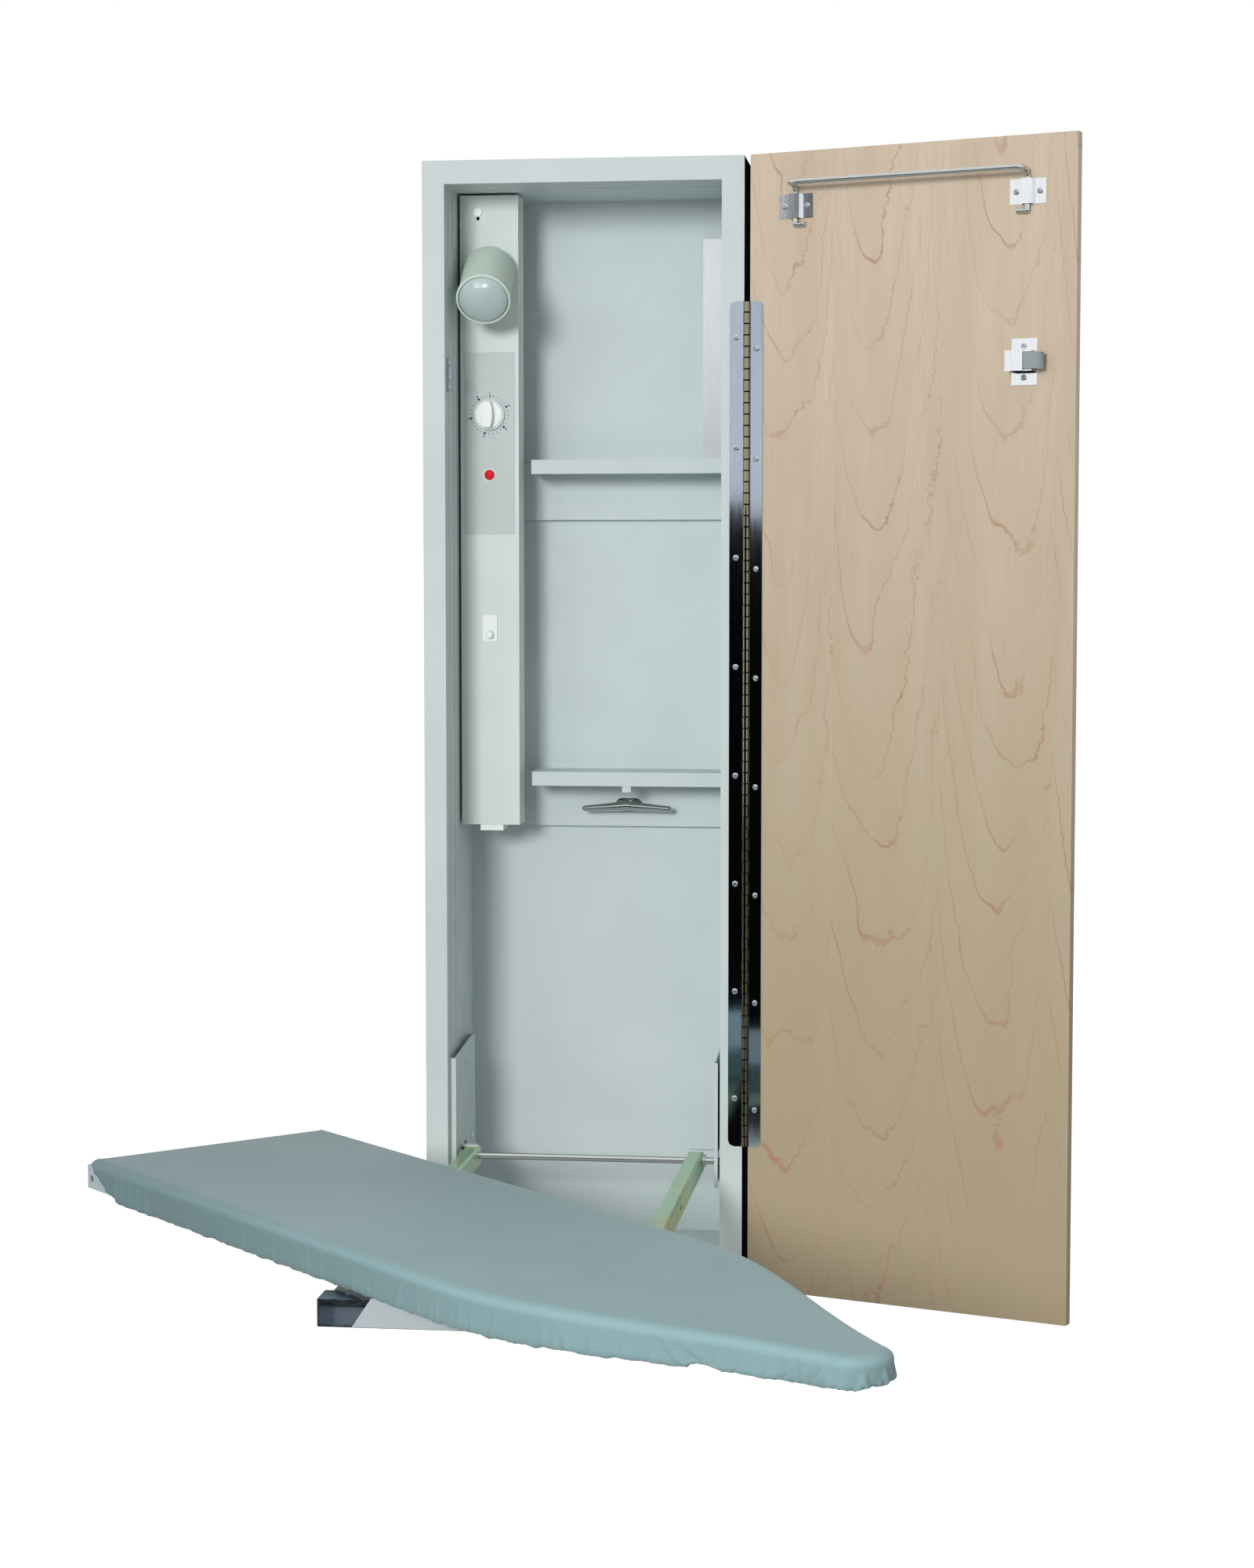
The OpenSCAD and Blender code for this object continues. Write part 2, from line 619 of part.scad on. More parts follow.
// ---- board ----
taper_n = 9;
nose_n = 7;
function taper(t) = 0.25 * (1 + cos(180 * t)) + 0.5 * (1 - pow(t, 1.8));
function side_pts(g) = concat(
  [[-pivot_back - g, board_half + g]],
  [for (i = [0:taper_n]) let (t = i / taper_n) [
    -pivot_back + board_straight + t * (board_len - nose_len - board_straight),
    nose_half + g + (board_half - nose_half) * taper(t)]],
  [for (i = [1:nose_n - 1]) let (a = 90 * i / nose_n) [
    -pivot_back + board_len - nose_len + (nose_len + g) * sin(a), (nose_half + g) * cos(a)]],
  [[-pivot_back + board_len + g, 0]]);
function flip(p) = [for (i = [len(p) - 2:-1:0]) [p[i][0], -p[i][1]]];
module outline(g) {
  polygon(concat(side_pts(g), flip(side_pts(g))));
}
module board_at(c) {
  translate([fx(pv_x), fy(-pivot_out), fz(c)]) rotate([0, 0, board_turn]) children();
}
// wedge taken off the lower edge from the nose back, as high as h at the tip
module nose_wedge(c, h) {
  tip = board_len - pivot_back;
  board_at(c) rotate([90, 0, 0]) linear_extrude(3 * board_half, center = true)
    polygon([[tip - 340, 0], [tip - 340, -1], [tip + 34, -1], [tip + 34, h * 1.1]]);
}
module board_deck() {
  color([0.5, 0.52, 0.53]) difference() {
    board_at(deck_c + apron_h) linear_extrude(apron_h) outline(0);
    board_at(deck_c + apron_h + 1) linear_extrude(apron_h - 0.2) outline(-1.2);
    nose_wedge(deck_c + apron_h, apron_cut);
    board_at(deck_c + 14) translate([-pivot_back + 9, -board_half - 1, 0]) rotate([-90, 0, 0])
      cylinder(r = 3.6, h = 4);
  }
}
module board_pad() {
  color([0.85, 0.83, 0.78]) board_at(deck_c - skin_gap) linear_extrude(pad_t) outline(-0.5);
}
cover_c = deck_c - 2 * skin_gap - pad_t - cover_t;
module board_cover() {
  color([0.55, 0.6, 0.68]) difference() {
    board_at(cover_c + skirt_h) linear_extrude(skirt_h) outline(skin_gap + cover_t);
    board_at(cover_c + skirt_h - cover_t) linear_extrude(skirt_h - 2 * cover_t) outline(skin_gap);
    nose_wedge(cover_c + skirt_h, apron_cut + 2.8);
    board_at(cover_c + skirt_h + 1) linear_extrude(skirt_h - 1) outline(-14);
    board_at(cover_c + skirt_h) translate([-pivot_back, -board_half + 13, 0]) rotate([90, 0, 0])
      linear_extrude(16) polygon([[-3, -1], [60, -1], [16, skirt_h - 5], [-3, skirt_h - 3]]);
  }
}

// ---- door: u away from the hinge axis, v into the wall when the door is flat ----
module door_at() {
  translate([fx(hinge_x), fy(-face_v), 0]) rotate([0, 0, -door_rest]) children();
}
module dblock(u0, u1, v0, v1, c0, c1) {
  translate([u0, v0, fz(c1)]) cube([u1 - u0, v1 - v0, c1 - c0]);
}
module dbar_v(r, u, v0, v1, c) {
  translate([u, v0, fz(c)]) rotate([-90, 0, 0]) cylinder(r = r, h = v1 - v0);
}
module door_panel() {
  color([0.85, 0.66, 0.42]) door_at() dblock(hinge_gap, door_u1, face_v, face_v + panel_t, 0, cab_h);
}
module door_mirror() {
  color([0.75, 0.8, 0.82]) door_at()
    dblock(hinge_gap + 1, door_u1 - 1, face_v + panel_t, face_v + panel_t + mirror_t, 1, cab_h - 1);
}

// leaf in hinge coordinates: side is +1 for the door, -1 for the case
module leaf_plate(side) {
  difference() {
    translate([0, face_v, fz(hinge_c + hinge_len)]) rotate([90, 0, 0]) linear_extrude(leaf_t) polygon([
      [side * notch_u, 0], [side * (leaf_w - 7), 0], [side * (leaf_w - 2), 2], [side * leaf_w, 7],
      [side * leaf_w, hinge_len - 7], [side * (leaf_w - 2), hinge_len - 2],
      [side * (leaf_w - 7), hinge_len], [side * notch_u, hinge_len]]);
    for (i = [0:7])
      dbar_v(2.1, side * 11.5, leaf_v - 1, face_v + 1, hinge_c + 40.6 + (side + 1) * 6.35 + screw_pitch * i);
  }
}
module knuckles(side) {
  k = (side + 1) / 2;
  difference() {
    for (i = [0:knuckle_pairs - 1]) {
      c0 = hinge_c + knuckle_pitch * (2 * i + k) + 0.4;
      translate([0, 0, fz(c0 + knuckle_pitch - 0.8)]) cylinder(r = barrel_r, h = knuckle_pitch - 0.8);
      dblock(min(0, side * (notch_u + 0.5)), max(0, side * (notch_u + 0.5)), leaf_v, face_v,
        c0, c0 + knuckle_pitch - 0.8);
    }
    translate([0, 0, fz(hinge_c + hinge_len + 1)]) cylinder(r = hinge_pin_r + 0.08, h = hinge_len + 2);
  }
}
module leaf_screws(side) {
  for (i = [0:7])
    dbar_v(3.3, side * 11.5, leaf_v - 1.1, leaf_v, hinge_c + 40.6 + (side + 1) * 6.35 + screw_pitch * i);
  for (i = [0:7])
    dbar_v(1.9, side * 11.5, leaf_v - 0.5, face_v, hinge_c + 40.6 + (side + 1) * 6.35 + screw_pitch * i);
}
module hinge_leaf_case() {
  color([0.72, 0.72, 0.7]) translate([fx(hinge_x), fy(-face_v), 0]) {
    leaf_plate(-1);
    knuckles(-1);
  }
}
module hinge_leaf_door() {
  color([0.72, 0.72, 0.7]) door_at() {
    leaf_plate(1);
    knuckles(1);
  }
}
module hinge_pin() {
  color([0.6, 0.6, 0.6]) translate([fx(hinge_x), fy(-face_v), fz(hinge_c + hinge_len + 0.5)])
    cylinder(r = hinge_pin_r, h = hinge_len + 1);
}
module hinge_screws_case() {
  color([0.65, 0.65, 0.63]) translate([fx(hinge_x), fy(-face_v), 0]) leaf_screws(-1);
}
module hinge_screws_door() {
  color([0.65, 0.65, 0.63]) door_at() leaf_screws(1);
}

// ---- door fittings ----
module bar_clip(u) {
  difference() {
    dblock(u - 6.2, u + 6.2, face_v - 7.8, face_v, clip_c, clip_c + clip_h);
    dblock(u - 5, u + 5, face_v - 6.6, face_v + 1, clip_c - 1, clip_c + clip_h + 1);
  }
  for (s = [-1, 1]) difference() {
    dblock(u + s * 13.1 - 7.1, u + s * 13.1 + 7.1, face_v - 1.2, face_v, clip_c, clip_c + clip_h);
    dbar_v(1.8, u + s * 13.4, face_v - 3, face_v + 1, clip_c + clip_h / 2);
  }
}
module bar_clip_left() {
  color([0.8, 0.8, 0.8]) door_at() bar_clip(clip_u);
}
module bar_clip_right() {
  color([0.8, 0.8, 0.8]) door_at() bar_clip(clip2_u);
}
module fitting_screw(u, v, c) {
  dbar_v(3.2, u, v - 1.6, v, c);
  dbar_v(1.6, u, v - 1, face_v, c);
}
module door_screws() {
  color([0.75, 0.75, 0.75]) door_at() {
    for (u = [clip_u, clip2_u])
      for (s = [-1, 1])
        fitting_screw(u + s * 13.4, face_v - 1.2, clip_c + clip_h / 2);
    for (s = [-1, 1])
      fitting_screw(catch_u + 4.5, face_v - 1.5, catch_c + s * 17);
  }
}
module catch_case() {
  color([0.8, 0.8, 0.8]) door_at() difference() {
    union() {
      dblock(catch_u - 9.5, catch_u + 19.5, face_v - 1.5, face_v, catch_c - 25, catch_c + 25);
      dblock(catch_u - 10, catch_u + 10, face_v - 23, face_v - 1, catch_c - 11, catch_c + 11);
      dblock(catch_u, catch_u + 19, face_v - 19, face_v - 1, catch_c - 11, catch_c + 11);
    }
    dblock(catch_u + 10, catch_u + 21, face_v - 25, face_v - 1.5, catch_c - 9.4, catch_c + 9.4);
    dblock(catch_u - 8.4, catch_u + 11, face_v - 21.4, face_v - 3, catch_c - 9.4, catch_c + 9.4);
    for (s = [-1, 1])
      dbar_v(1.8, catch_u + 4.5, face_v - 3, face_v + 1, catch_c + s * 17);
  }
}
module catch_roller() {
  color([0.5, 0.5, 0.5]) door_at() {
    dblock(catch_u - 2.5, catch_u + 20, face_v - 20.8, face_v - 3.6, catch_c - 8.8, catch_c + 8.8);
    translate([catch_u + 21.5, face_v - 12.2, fz(catch_c + 8.8)]) cylinder(r = 8.8, h = 17.6);
  }
}
wire_v = face_v - wire_r - 0.3;
bar_v = face_v - bar_out;
module wire_leg(u, s) {
  translate([u, wire_v, fz(clip_c + clip_h + 7)]) cylinder(r = wire_r, h = clip_c + clip_h + 7 - bar_c - 8);
  translate([u, wire_v, fz(clip_c + clip_h + 7)]) sphere(r = wire_r);
  translate([u, wire_v, fz(clip_c + clip_h + 7)]) rotate([0, s * 90, 0]) cylinder(r = wire_r, h = 12);
  translate([u, wire_v - 8, fz(bar_c + 8)]) rotate([90, 0, 90]) rotate_extrude(angle = 90)
    translate([8, 0]) circle(r = wire_r);
  translate([u, bar_v + 10, fz(bar_c)]) rotate([-90, 0, 0]) cylinder(r = wire_r, h = wire_v - 8 - bar_v - 10);
}
module garment_bar() {
  color([0.8, 0.8, 0.8]) door_at() {
    wire_leg(clip_u, 1);
    wire_leg(clip2_u, -1);
    translate([clip_u + 10, bar_v + 10, fz(bar_c)]) rotate([0, 0, 180]) rotate_extrude(angle = 90)
      translate([10, 0]) circle(r = wire_r);
    translate([clip2_u - 10, bar_v + 10, fz(bar_c)]) rotate([0, 0, 270]) rotate_extrude(angle = 90)
      translate([10, 0]) circle(r = wire_r);
    translate([clip_u + 10, bar_v, fz(bar_c)]) rotate([0, 90, 0])
      cylinder(r = wire_r, h = clip2_u - clip_u - 20);
  }
}

case_sides();
case_ends();
face_frame();
liner_sides();
liner_ends();
back_panel();
control_box();
wiring_box();
power_outlet();
control_label();
box_plug();
lamp_base();
timer_body();
pilot_lamp();
pilot_bezel();
switch_plate();
cable_inlet();
upper_shelf();
upper_rail();
lower_shelf();
lower_rail();
heat_shield();
shelf_tab();
cord_cleat();
cleat_screws();
catch_strike();
strike_screws();
bracket_left();
bracket_right();
bracket_screws();
cross_rod();
rod_collars();
hinge_leaf_case();
hinge_pin();
hinge_screws_case();
door_panel();
door_mirror();
hinge_leaf_door();
hinge_screws_door();
bar_clip_left();
bar_clip_right();
door_screws();
catch_case();
garment_bar();
catch_roller();
arm_left();
arm_right();
front_channel();
swivel_plate();
pivot_bolt();
board_deck();
board_pad();
board_cover();
swivel_hub();
timer_knob();
lamp_shade();
lamp_bulb();
switch_plunger();
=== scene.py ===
# %% [markdown]
# # A mirrored wall cabinet with a folding ironing board
# The object is a shallow steel cabinet. Its door is a maple panel with a mirror on the outer side,
# shown swung right round on its long piano hinge, so the maple side faces us. A covered board
# stands out on two folding arms. The hard parts come finished in shape from the construction
# model, so this lesson gives them their finishes. It makes what a construction model
# can't show well: the stretched cloth cover, the felt under it, and the crossed screw heads.

# %% Load the construction model
import bpy, bmesh, json, math, random
from mathutils import Vector, Matrix


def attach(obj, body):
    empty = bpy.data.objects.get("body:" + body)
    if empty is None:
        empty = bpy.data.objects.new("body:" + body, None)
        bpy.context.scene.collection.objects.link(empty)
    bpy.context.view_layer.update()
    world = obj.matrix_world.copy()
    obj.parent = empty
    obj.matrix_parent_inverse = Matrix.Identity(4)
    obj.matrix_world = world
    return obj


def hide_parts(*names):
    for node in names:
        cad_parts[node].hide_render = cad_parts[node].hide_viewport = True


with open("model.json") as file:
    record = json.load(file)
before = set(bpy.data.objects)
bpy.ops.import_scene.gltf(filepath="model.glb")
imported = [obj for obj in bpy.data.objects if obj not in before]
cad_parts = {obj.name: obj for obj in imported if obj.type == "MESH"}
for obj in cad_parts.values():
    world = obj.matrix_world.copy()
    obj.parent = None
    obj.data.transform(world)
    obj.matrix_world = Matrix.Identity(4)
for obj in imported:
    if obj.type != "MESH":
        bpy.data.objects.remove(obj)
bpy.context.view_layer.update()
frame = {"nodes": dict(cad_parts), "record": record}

# %% [markdown]
# ## Where things are
# The model's zero lies on the wall between the two hanging holes. Distances on a cabinet are
# easier to think of from its face and its top edge, so one small helper turns millimetres from
# the left edge, into the wall and down from the top into metres in the model's own frame.

# %% From cabinet distances to model metres
ZERO_ACROSS, ZERO_BACK, ZERO_DOWN = 184, 183, 150  # the zero, from the face's top left corner

def at(x, y, down):
    return Vector(((x - ZERO_ACROSS) / 1000, (y - ZERO_BACK) / 1000, (ZERO_DOWN - down) / 1000))

print("top left corner of the face:", tuple(at(0, 0, 0)))

# %% [markdown]
# ## The camera
# The picture was taken with a long lens, about three and a quarter metres in front of the face,
# a little to the right and slightly from above. The long lens keeps the cabinet's sides nearly
# parallel. A camera could be aimed by eye, but then the outlines rarely meet, so its place and
# direction were worked out from points on the face and the hinge. The sensor is fitted to the
# width, because the picture is taller than it is wide.

# %% Set up the camera
LENS, CAMERA_PLACE = 82.51, (0.4514, -3.4374, -0.3329)
CAMERA_TURN, CAMERA_TIP = math.radians(7.011), math.radians(3.924)

def photo_camera(turn, tip):
    data = bpy.data.cameras.new("photo_camera")
    data.sensor_fit, data.sensor_width, data.lens = "HORIZONTAL", 36, LENS
    data.clip_end = 100
    level = math.cos(tip)
    ahead = Vector((-math.sin(turn) * level, math.cos(turn) * level, -math.sin(tip)))
    side = Vector((math.cos(turn), math.sin(turn), 0))
    up = side.cross(ahead)
    rotation = Matrix((side, up, -ahead)).transposed().to_4x4()
    cam = bpy.data.objects.new("photo_camera", data)
    bpy.context.collection.objects.link(cam)
    cam.matrix_world = Matrix.Translation(CAMERA_PLACE) @ rotation
    bpy.context.scene.camera = cam
    return cam

camera = photo_camera(CAMERA_TURN, CAMERA_TIP)
print("camera at", tuple(round(v, 3) for v in camera.location))

# %% [markdown]
# ## Values as Python, nodes as a result
# A material is a net of small boxes. Written out box by box it is hard to read, so one class
# stands for the output of a box and lets Python's own operators add the Math boxes. The other
# class stands for a whole finish, and has a single method that adds any other box.

# %% A value that can be calculated with
class Value:
    """The output of a box. Every operator adds one Math box and gives its output."""
    def __init__(self, finish, out):
        self.finish, self.out = finish, out

    def calc(self, how, *others):
        return self.finish.node("Math", {"operation": how}, self, *others)

    def __add__(self, b): return self.calc("ADD", b)
    def __sub__(self, b): return self.calc("SUBTRACT", b)
    def __rsub__(self, b): return self.finish.node("Math", {"operation": "SUBTRACT"}, b, self)
    def __mul__(self, b): return self.calc("MULTIPLY", b)
    def __truediv__(self, b): return self.calc("DIVIDE", b)
    def __lt__(self, b): return self.calc("LESS_THAN", b)
    def __gt__(self, b): return self.calc("GREATER_THAN", b)
    def __or__(self, b): return self.calc("MAXIMUM", b)
    def part(self): return self.calc("FRACT")
    def size(self): return self.calc("ABSOLUTE")
    def floor(self): return self.calc("FLOOR")
    def root(self): return self.calc("SQRT")
    def sine(self): return self.calc("SINE")

print("value operators ready")

# %% A finish: one material and its boxes
class Finish:
    """One material. node() adds a box, and set() puts a constant or a link on the main shader."""
    def __init__(self, name, color=(0.5, 0.5, 0.5), **constants):
        self.material = bpy.data.materials.new(name)
        self.material.use_nodes = True
        self.tree = self.material.node_tree
        self.shader = self.tree.nodes["Principled BSDF"]
        self.set("Base Color", color)
        for socket, value in constants.items():
            self.set(socket.replace("_", " "), value)

    def link(self, socket, value):
        if isinstance(value, Value):
            self.tree.links.new(value.out, socket)
        else:
            socket.default_value = (*value, 1) if socket.type == "RGBA" else value

    def node(self, kind, settings=None, *in_order, output=0, **by_name):
        """Adds a box, fills its inputs in order or by name, and gives one of its outputs."""
        box = self.tree.nodes.new("ShaderNode" + kind)
        for key, value in (settings or {}).items():
            if key == "stops":
                ramp = box.color_ramp
                while len(ramp.elements) < len(value):
                    ramp.elements.new(0.5)
                for stop, (place, colour) in zip(ramp.elements, value):
                    stop.position, stop.color = place, (*colour, 1)
            else:
                setattr(box, key, value)
        for socket, value in zip(box.inputs, in_order):
            self.link(socket, value)
        for name, value in by_name.items():
            wanted = name.replace("_", " ")
            self.link(next(s for s in box.inputs if s.enabled and s.name == wanted), value)
        outs = [s for s in box.outputs if s.enabled]
        if isinstance(output, str):
            output = [s.name for s in outs].index(output)
        return Value(self, outs[output])

    def set(self, socket, value):
        self.link(self.shader.inputs[socket], value)

    def place(self):
        return self.node("TexCoord", output="Object")

    def turned(self, centre, angle):
        """The place, turned about an upright line through the centre."""
        return self.node("VectorRotate", {"rotation_type": "Z_AXIS"},
                         self.place(), tuple(centre), Angle=angle)

    def axes(self, vector):
        return [self.node("SeparateXYZ", None, vector, output=i) for i in range(3)]

    def point(self, x, y, z):
        return self.node("CombineXYZ", None, x, y, z)

    def stretch(self, vector, scale):
        return self.node("VectorMath", {"operation": "MULTIPLY"}, vector, scale)

    def noise(self, vector, scale, detail=2.0, rough=0.5):
        return self.node("TexNoise", None,
                         Vector=vector, Scale=scale, Detail=detail, Roughness=rough)

    def step(self, value, low, high):
        """0 up to low, 1 from high on, and a soft change between them."""
        return self.node("MapRange", {"interpolation_type": "SMOOTHSTEP"},
                         Value=value, From_Min=low, From_Max=high)

    def mix(self, amount, a, b):
        return self.node("Mix", {"data_type": "RGBA"}, Factor=amount, A=a, B=b)

    def bump(self, height, distance, strength):
        return self.node("Bump", None, Strength=strength, Distance=distance, Height=height)

def paint(r, g, b):
    """A colour as a screen shows it, 0 to 255, as the light values a shader works with."""
    return tuple(v / 255 / 12.92 if v <= 10 else ((v / 255 + 0.055) / 1.055) ** 2.4
                 for v in (r, g, b))

print("finish class ready")

# %% [markdown]
# ## Enamelled sheet metal
# The face frame, liner, shelves and brackets are sprayed with a satin off-white enamel, very
# slightly green. Sprayed enamel is never perfectly even: it has a fine orange-peel surface, and
# its tone drifts a little over a large sheet. A picture of paint would have to be unwrapped onto
# every part, so noise in the part's own space is used: a fine one for the peel, a broad one for
# the tone.

# %% Off-white enamels
def enamel(name, colour, blur=0.46, peel=0.00003, shine=0.22):
    f = Finish(name, colour, Coat_Weight=0.05 if shine else 0.0, Coat_Roughness=0.25,
               Specular_IOR_Level=shine)
    p = f.place()
    broad, fine = f.noise(p, 9, 3), f.noise(p, 850, 2)
    darker = tuple(c * 0.96 for c in colour)
    f.set("Base Color", f.mix(f.step(broad, 0.35, 0.7), colour, darker))
    f.set("Roughness", broad * 0.1 + (blur - 0.04))
    f.set("Normal", f.bump(fine, peel, 0.5))
    return f.material

finishes = {
    "enamel": enamel("cabinet_enamel", paint(205, 216, 216)),
    "box_enamel": enamel("control_box_enamel", paint(219, 229, 226), 0.42),
    "lamp_enamel": enamel("lamp_enamel", paint(212, 227, 216), 0.4),
    # painted shade: the outer case is near-black and unreflecting, for the shadow along its side
    # by the door
    "case_black": enamel("outer_case_painted_shade", (0.006, 0.006, 0.006), 0.7, 0.00005, 0.0),
    "grey_paint": enamel("board_grey_paint", paint(178, 188, 192), 0.45),
    "corner_plate": enamel("deck_grey_paint", paint(178, 192, 194), 0.45),
}
print("enamels:", len(finishes))

# %% [markdown]
# ## Plated metals
# The hardware is bright or dark chrome, the mirror-like nickel of the piano hinge, turned
# steel, and several kinds of zinc. They differ in colour, in how sharp the reflection is, and in
# what the rolling or plating has left on them. Long streaks on rolled strip are noise stretched
# along the strip. Blotches on yellow zinc are a cloud of noise that picks from a row of colours.
# The crystal flakes on hot-dipped sheet are the cells of a Voronoi pattern. The long hinge also
# shows dark oil between its knuckles, which is placed from the pin's line and the knuckles'
# length, so that it stays with the joints.

# %% Chrome, nickel and steel
HINGE_X, HINGE_Y, HINGE_TOP = 371, -3.3, 162.6  # the pin's line and its upper end, in mm, for at()
BARREL, KNUCKLE = 0.0042, 0.01264  # in metres: reach of the barrel round the pin, one knuckle

def plated(name, colour, blur, streak=0.05, along=(60, 60, 3), joints=False):
    """Plated metal. With joints, dark oil lies where two knuckles of the long hinge meet."""
    f = Finish(name, colour, Metallic=1.0)
    lines = f.noise(f.stretch(f.place(), along), 12, 3, 0.6)
    rough = lines * streak * 2 + (blur - streak)
    darker, lighter = tuple(c * 0.8 for c in colour), tuple(min(c * 1.12, 1) for c in colour)
    tone = f.mix(lines, darker, lighter)
    if joints:
        pin, (x, y, z) = at(HINGE_X, HINGE_Y, HINGE_TOP), f.axes(f.place())
        dx, dy = x - pin.x, y - pin.y
        near = (dx * dx + dy * dy).root() < BARREL
        meet = ((pin.z - z) / KNUCKLE + 0.5).part() - 0.5
        oil = near * (meet.size() < 0.065)
        tone = f.mix(oil, f.mix(near, tone, (0.30, 0.275, 0.20)), (0.01, 0.009, 0.007))
        rough = rough + oil * 0.5
    f.set("Roughness", rough)
    f.set("Base Color", tone)
    f.set("Normal", f.bump(lines, 0.00002, 0.3))
    return f.material

metals = {
    "bright_chrome": plated("bright_chrome", (0.84, 0.88, 0.91), 0.09, 0.03),
    "bar_chrome": plated("bar_chrome", (0.60, 0.64, 0.62), 0.07, 0.03),
    "bright_zinc": plated("bright_zinc", (0.84, 0.90, 0.96), 0.26, 0.12, (50, 50, 2)),
    # painted shade: a darker copy of the chrome, for the dark that the channel and the strike
    # mirror
    "dark_chrome": plated("dark_chrome", (0.38, 0.44, 0.50), 0.16, 0.14, (20, 60, 60)),
    "hinge_nickel": plated("hinge_nickel", (0.42, 0.49, 0.57), 0.06, 0.035, (90, 90, 1.5),
                           joints=True),
    "bolt_steel": plated("turned_steel", (0.55, 0.56, 0.58), 0.3),
}
finishes.update(metals)
print("plated so far:", ", ".join(metals))

# %% Yellow zinc and spangled zinc
def yellow_zinc():
    f = Finish("yellow_zinc", Metallic=0.9)
    p = f.place()
    cloud, grain = f.noise(p, 26, 4, 0.6), f.noise(f.stretch(p, (200, 8, 200)), 4, 2)
    tone = f.node("ValToRGB", {"stops": [(0.3, paint(150, 210, 184)), (0.5, paint(180, 214, 176)),
                                         (0.68, paint(194, 198, 154))]}, cloud)
    f.set("Base Color", f.mix(grain * 0.25, tone, paint(240, 240, 215)))
    f.set("Roughness", cloud * 0.2 + 0.22)
    f.set("Normal", f.bump(grain, 0.00003, 0.4))
    return f.material

def spangled_zinc():
    f = Finish("spangled_zinc", Metallic=1.0)
    flakes = f.node("TexVoronoi", {"feature": "F1"}, Vector=f.place(), Scale=120.0, output="Color")
    level = f.node("SeparateColor", None, flakes)
    f.set("Base Color", f.mix(level, paint(188, 192, 194), paint(218, 221, 222)))
    f.set("Roughness", level * 0.18 + 0.3)
    return f.material

finishes["yellow_zinc"], finishes["galvanized"] = yellow_zinc(), spangled_zinc()
print("finishes with the zincs:", len(finishes))

# %% [markdown]
# ## Maple
# The door is faced with sliced maple. A tree's rings are long nested tubes, and a slice that
# runs slightly across them shows nested V shapes, the cathedrals. A wave pattern would repeat
# too evenly, so the distance from the tree's heart is worked out at each point of the slice, and
# each ring ends in a thin reddish line. The heart lies deeper further down, which closes the
# shapes at their lower end. Each leaf of veneer has its own heart, and slow noise makes the
# lines wander as real ones do.

# %% The sliced maple of the door
DOOR_TURN = math.radians(19.6)  # how far the open door stands forward of the face's plane
VENEER, RING = 0.128, 0.0075  # in metres: width of one leaf of veneer, one ring to the next

def maple():
    f = Finish("sliced_maple", Coat_Weight=0.22, Coat_Roughness=0.3, Specular_IOR_Level=0.4)
    hinge = at(HINGE_X, HINGE_Y, 0)
    x, y, z = f.axes(f.turned(hinge, DOOR_TURN))
    x = x - hinge.x
    # which leaf of veneer a point lies on, and what leads the lines astray there
    leaf = (x / VENEER + 0.18).floor()
    chance = f.node("TexWhiteNoise", {"noise_dimensions": "1D"}, W=leaf)
    wander = f.noise(f.point(x * 7, leaf * 3, z * 2.6), 1.0, 3, 0.5)
    shiver = f.noise(f.point(x * 60, leaf, z * 70), 1.0, 4, 0.7)
    # the heart is so far to the side and so deep, which gives the ring's number
    middle = (leaf + 0.32) * VENEER + (chance - 0.5) * 0.03
    across = x - middle + (wander - 0.5) * 0.05 + (shiver - 0.5) * 0.014
    depth = 0.19 - (z + 1.2) * 0.07 + (wander - 0.5) * 0.035
    heart = (across * across + depth * depth).root()
    ring = heart / RING + chance * 7 + (shiver - 0.5) * 0.32
    # the thin line at a ring's end, strong in some places and faint in others
    line = f.step((ring.part() - 0.5).size(), 0.455, 0.497)
    strong = f.step(f.noise(f.point(x * 14, leaf * 5, z * 5), 1.0, 2), 0.36, 0.66)
    # the wood between: a soft change of tone, pores, darker early wood, and painted shade on the
    # lower end
    pores = f.noise(f.point(x * 420, y * 420, z * 14), 1.0, 3, 0.6)
    soft = f.noise(f.point(x * 22, leaf, z * 2.2), 1.0, 3)
    early = f.step(ring.part(), 0.35, 1.0) * 0.10
    wood = f.mix(f.step(soft, 0.3, 0.72), paint(209, 193, 173), paint(200, 183, 160))
    wood = f.mix(f.step(pores, 0.35, 0.75) * 0.3, wood, paint(190, 168, 141))
    wood = f.mix(early, wood, paint(198, 170, 144))
    # painted shade: the door turns darker and duller towards its lower end, where less light falls
    wood = f.mix(f.step(z * -1, -0.1, 1.2) * 0.9, wood, paint(170, 154, 123))
    f.set("Base Color", f.mix(line * (strong * 0.6 + 0.1), wood, paint(172, 122, 100)))
    f.set("Roughness", pores * 0.12 + 0.34)
    f.set("Normal", f.bump(pores * 0.6 + line * 0.4, 0.00004, 0.4))
    return f.material

finishes["maple"] = maple()
print("veneer leaf", round(VENEER * 1000), "mm wide, rings", round(RING * 1000, 1), "mm apart")

# %% [markdown]
# ## Mirror, plastics, bulb and pilot light
# The mirror is silvered glass: a nearly perfect metal reflection with a faint green tone and
# the odd speck. Real glass over a metal sheet would need two solids, so one material tells the
# silvered faces from the ground edges by the way they face. The mouldings are glossy white
# plastic with the soft waviness that a mould leaves. The bulb is frosted under a smoother skin,
# which keeps its two highlights small, and the pilot lens is glossy red.

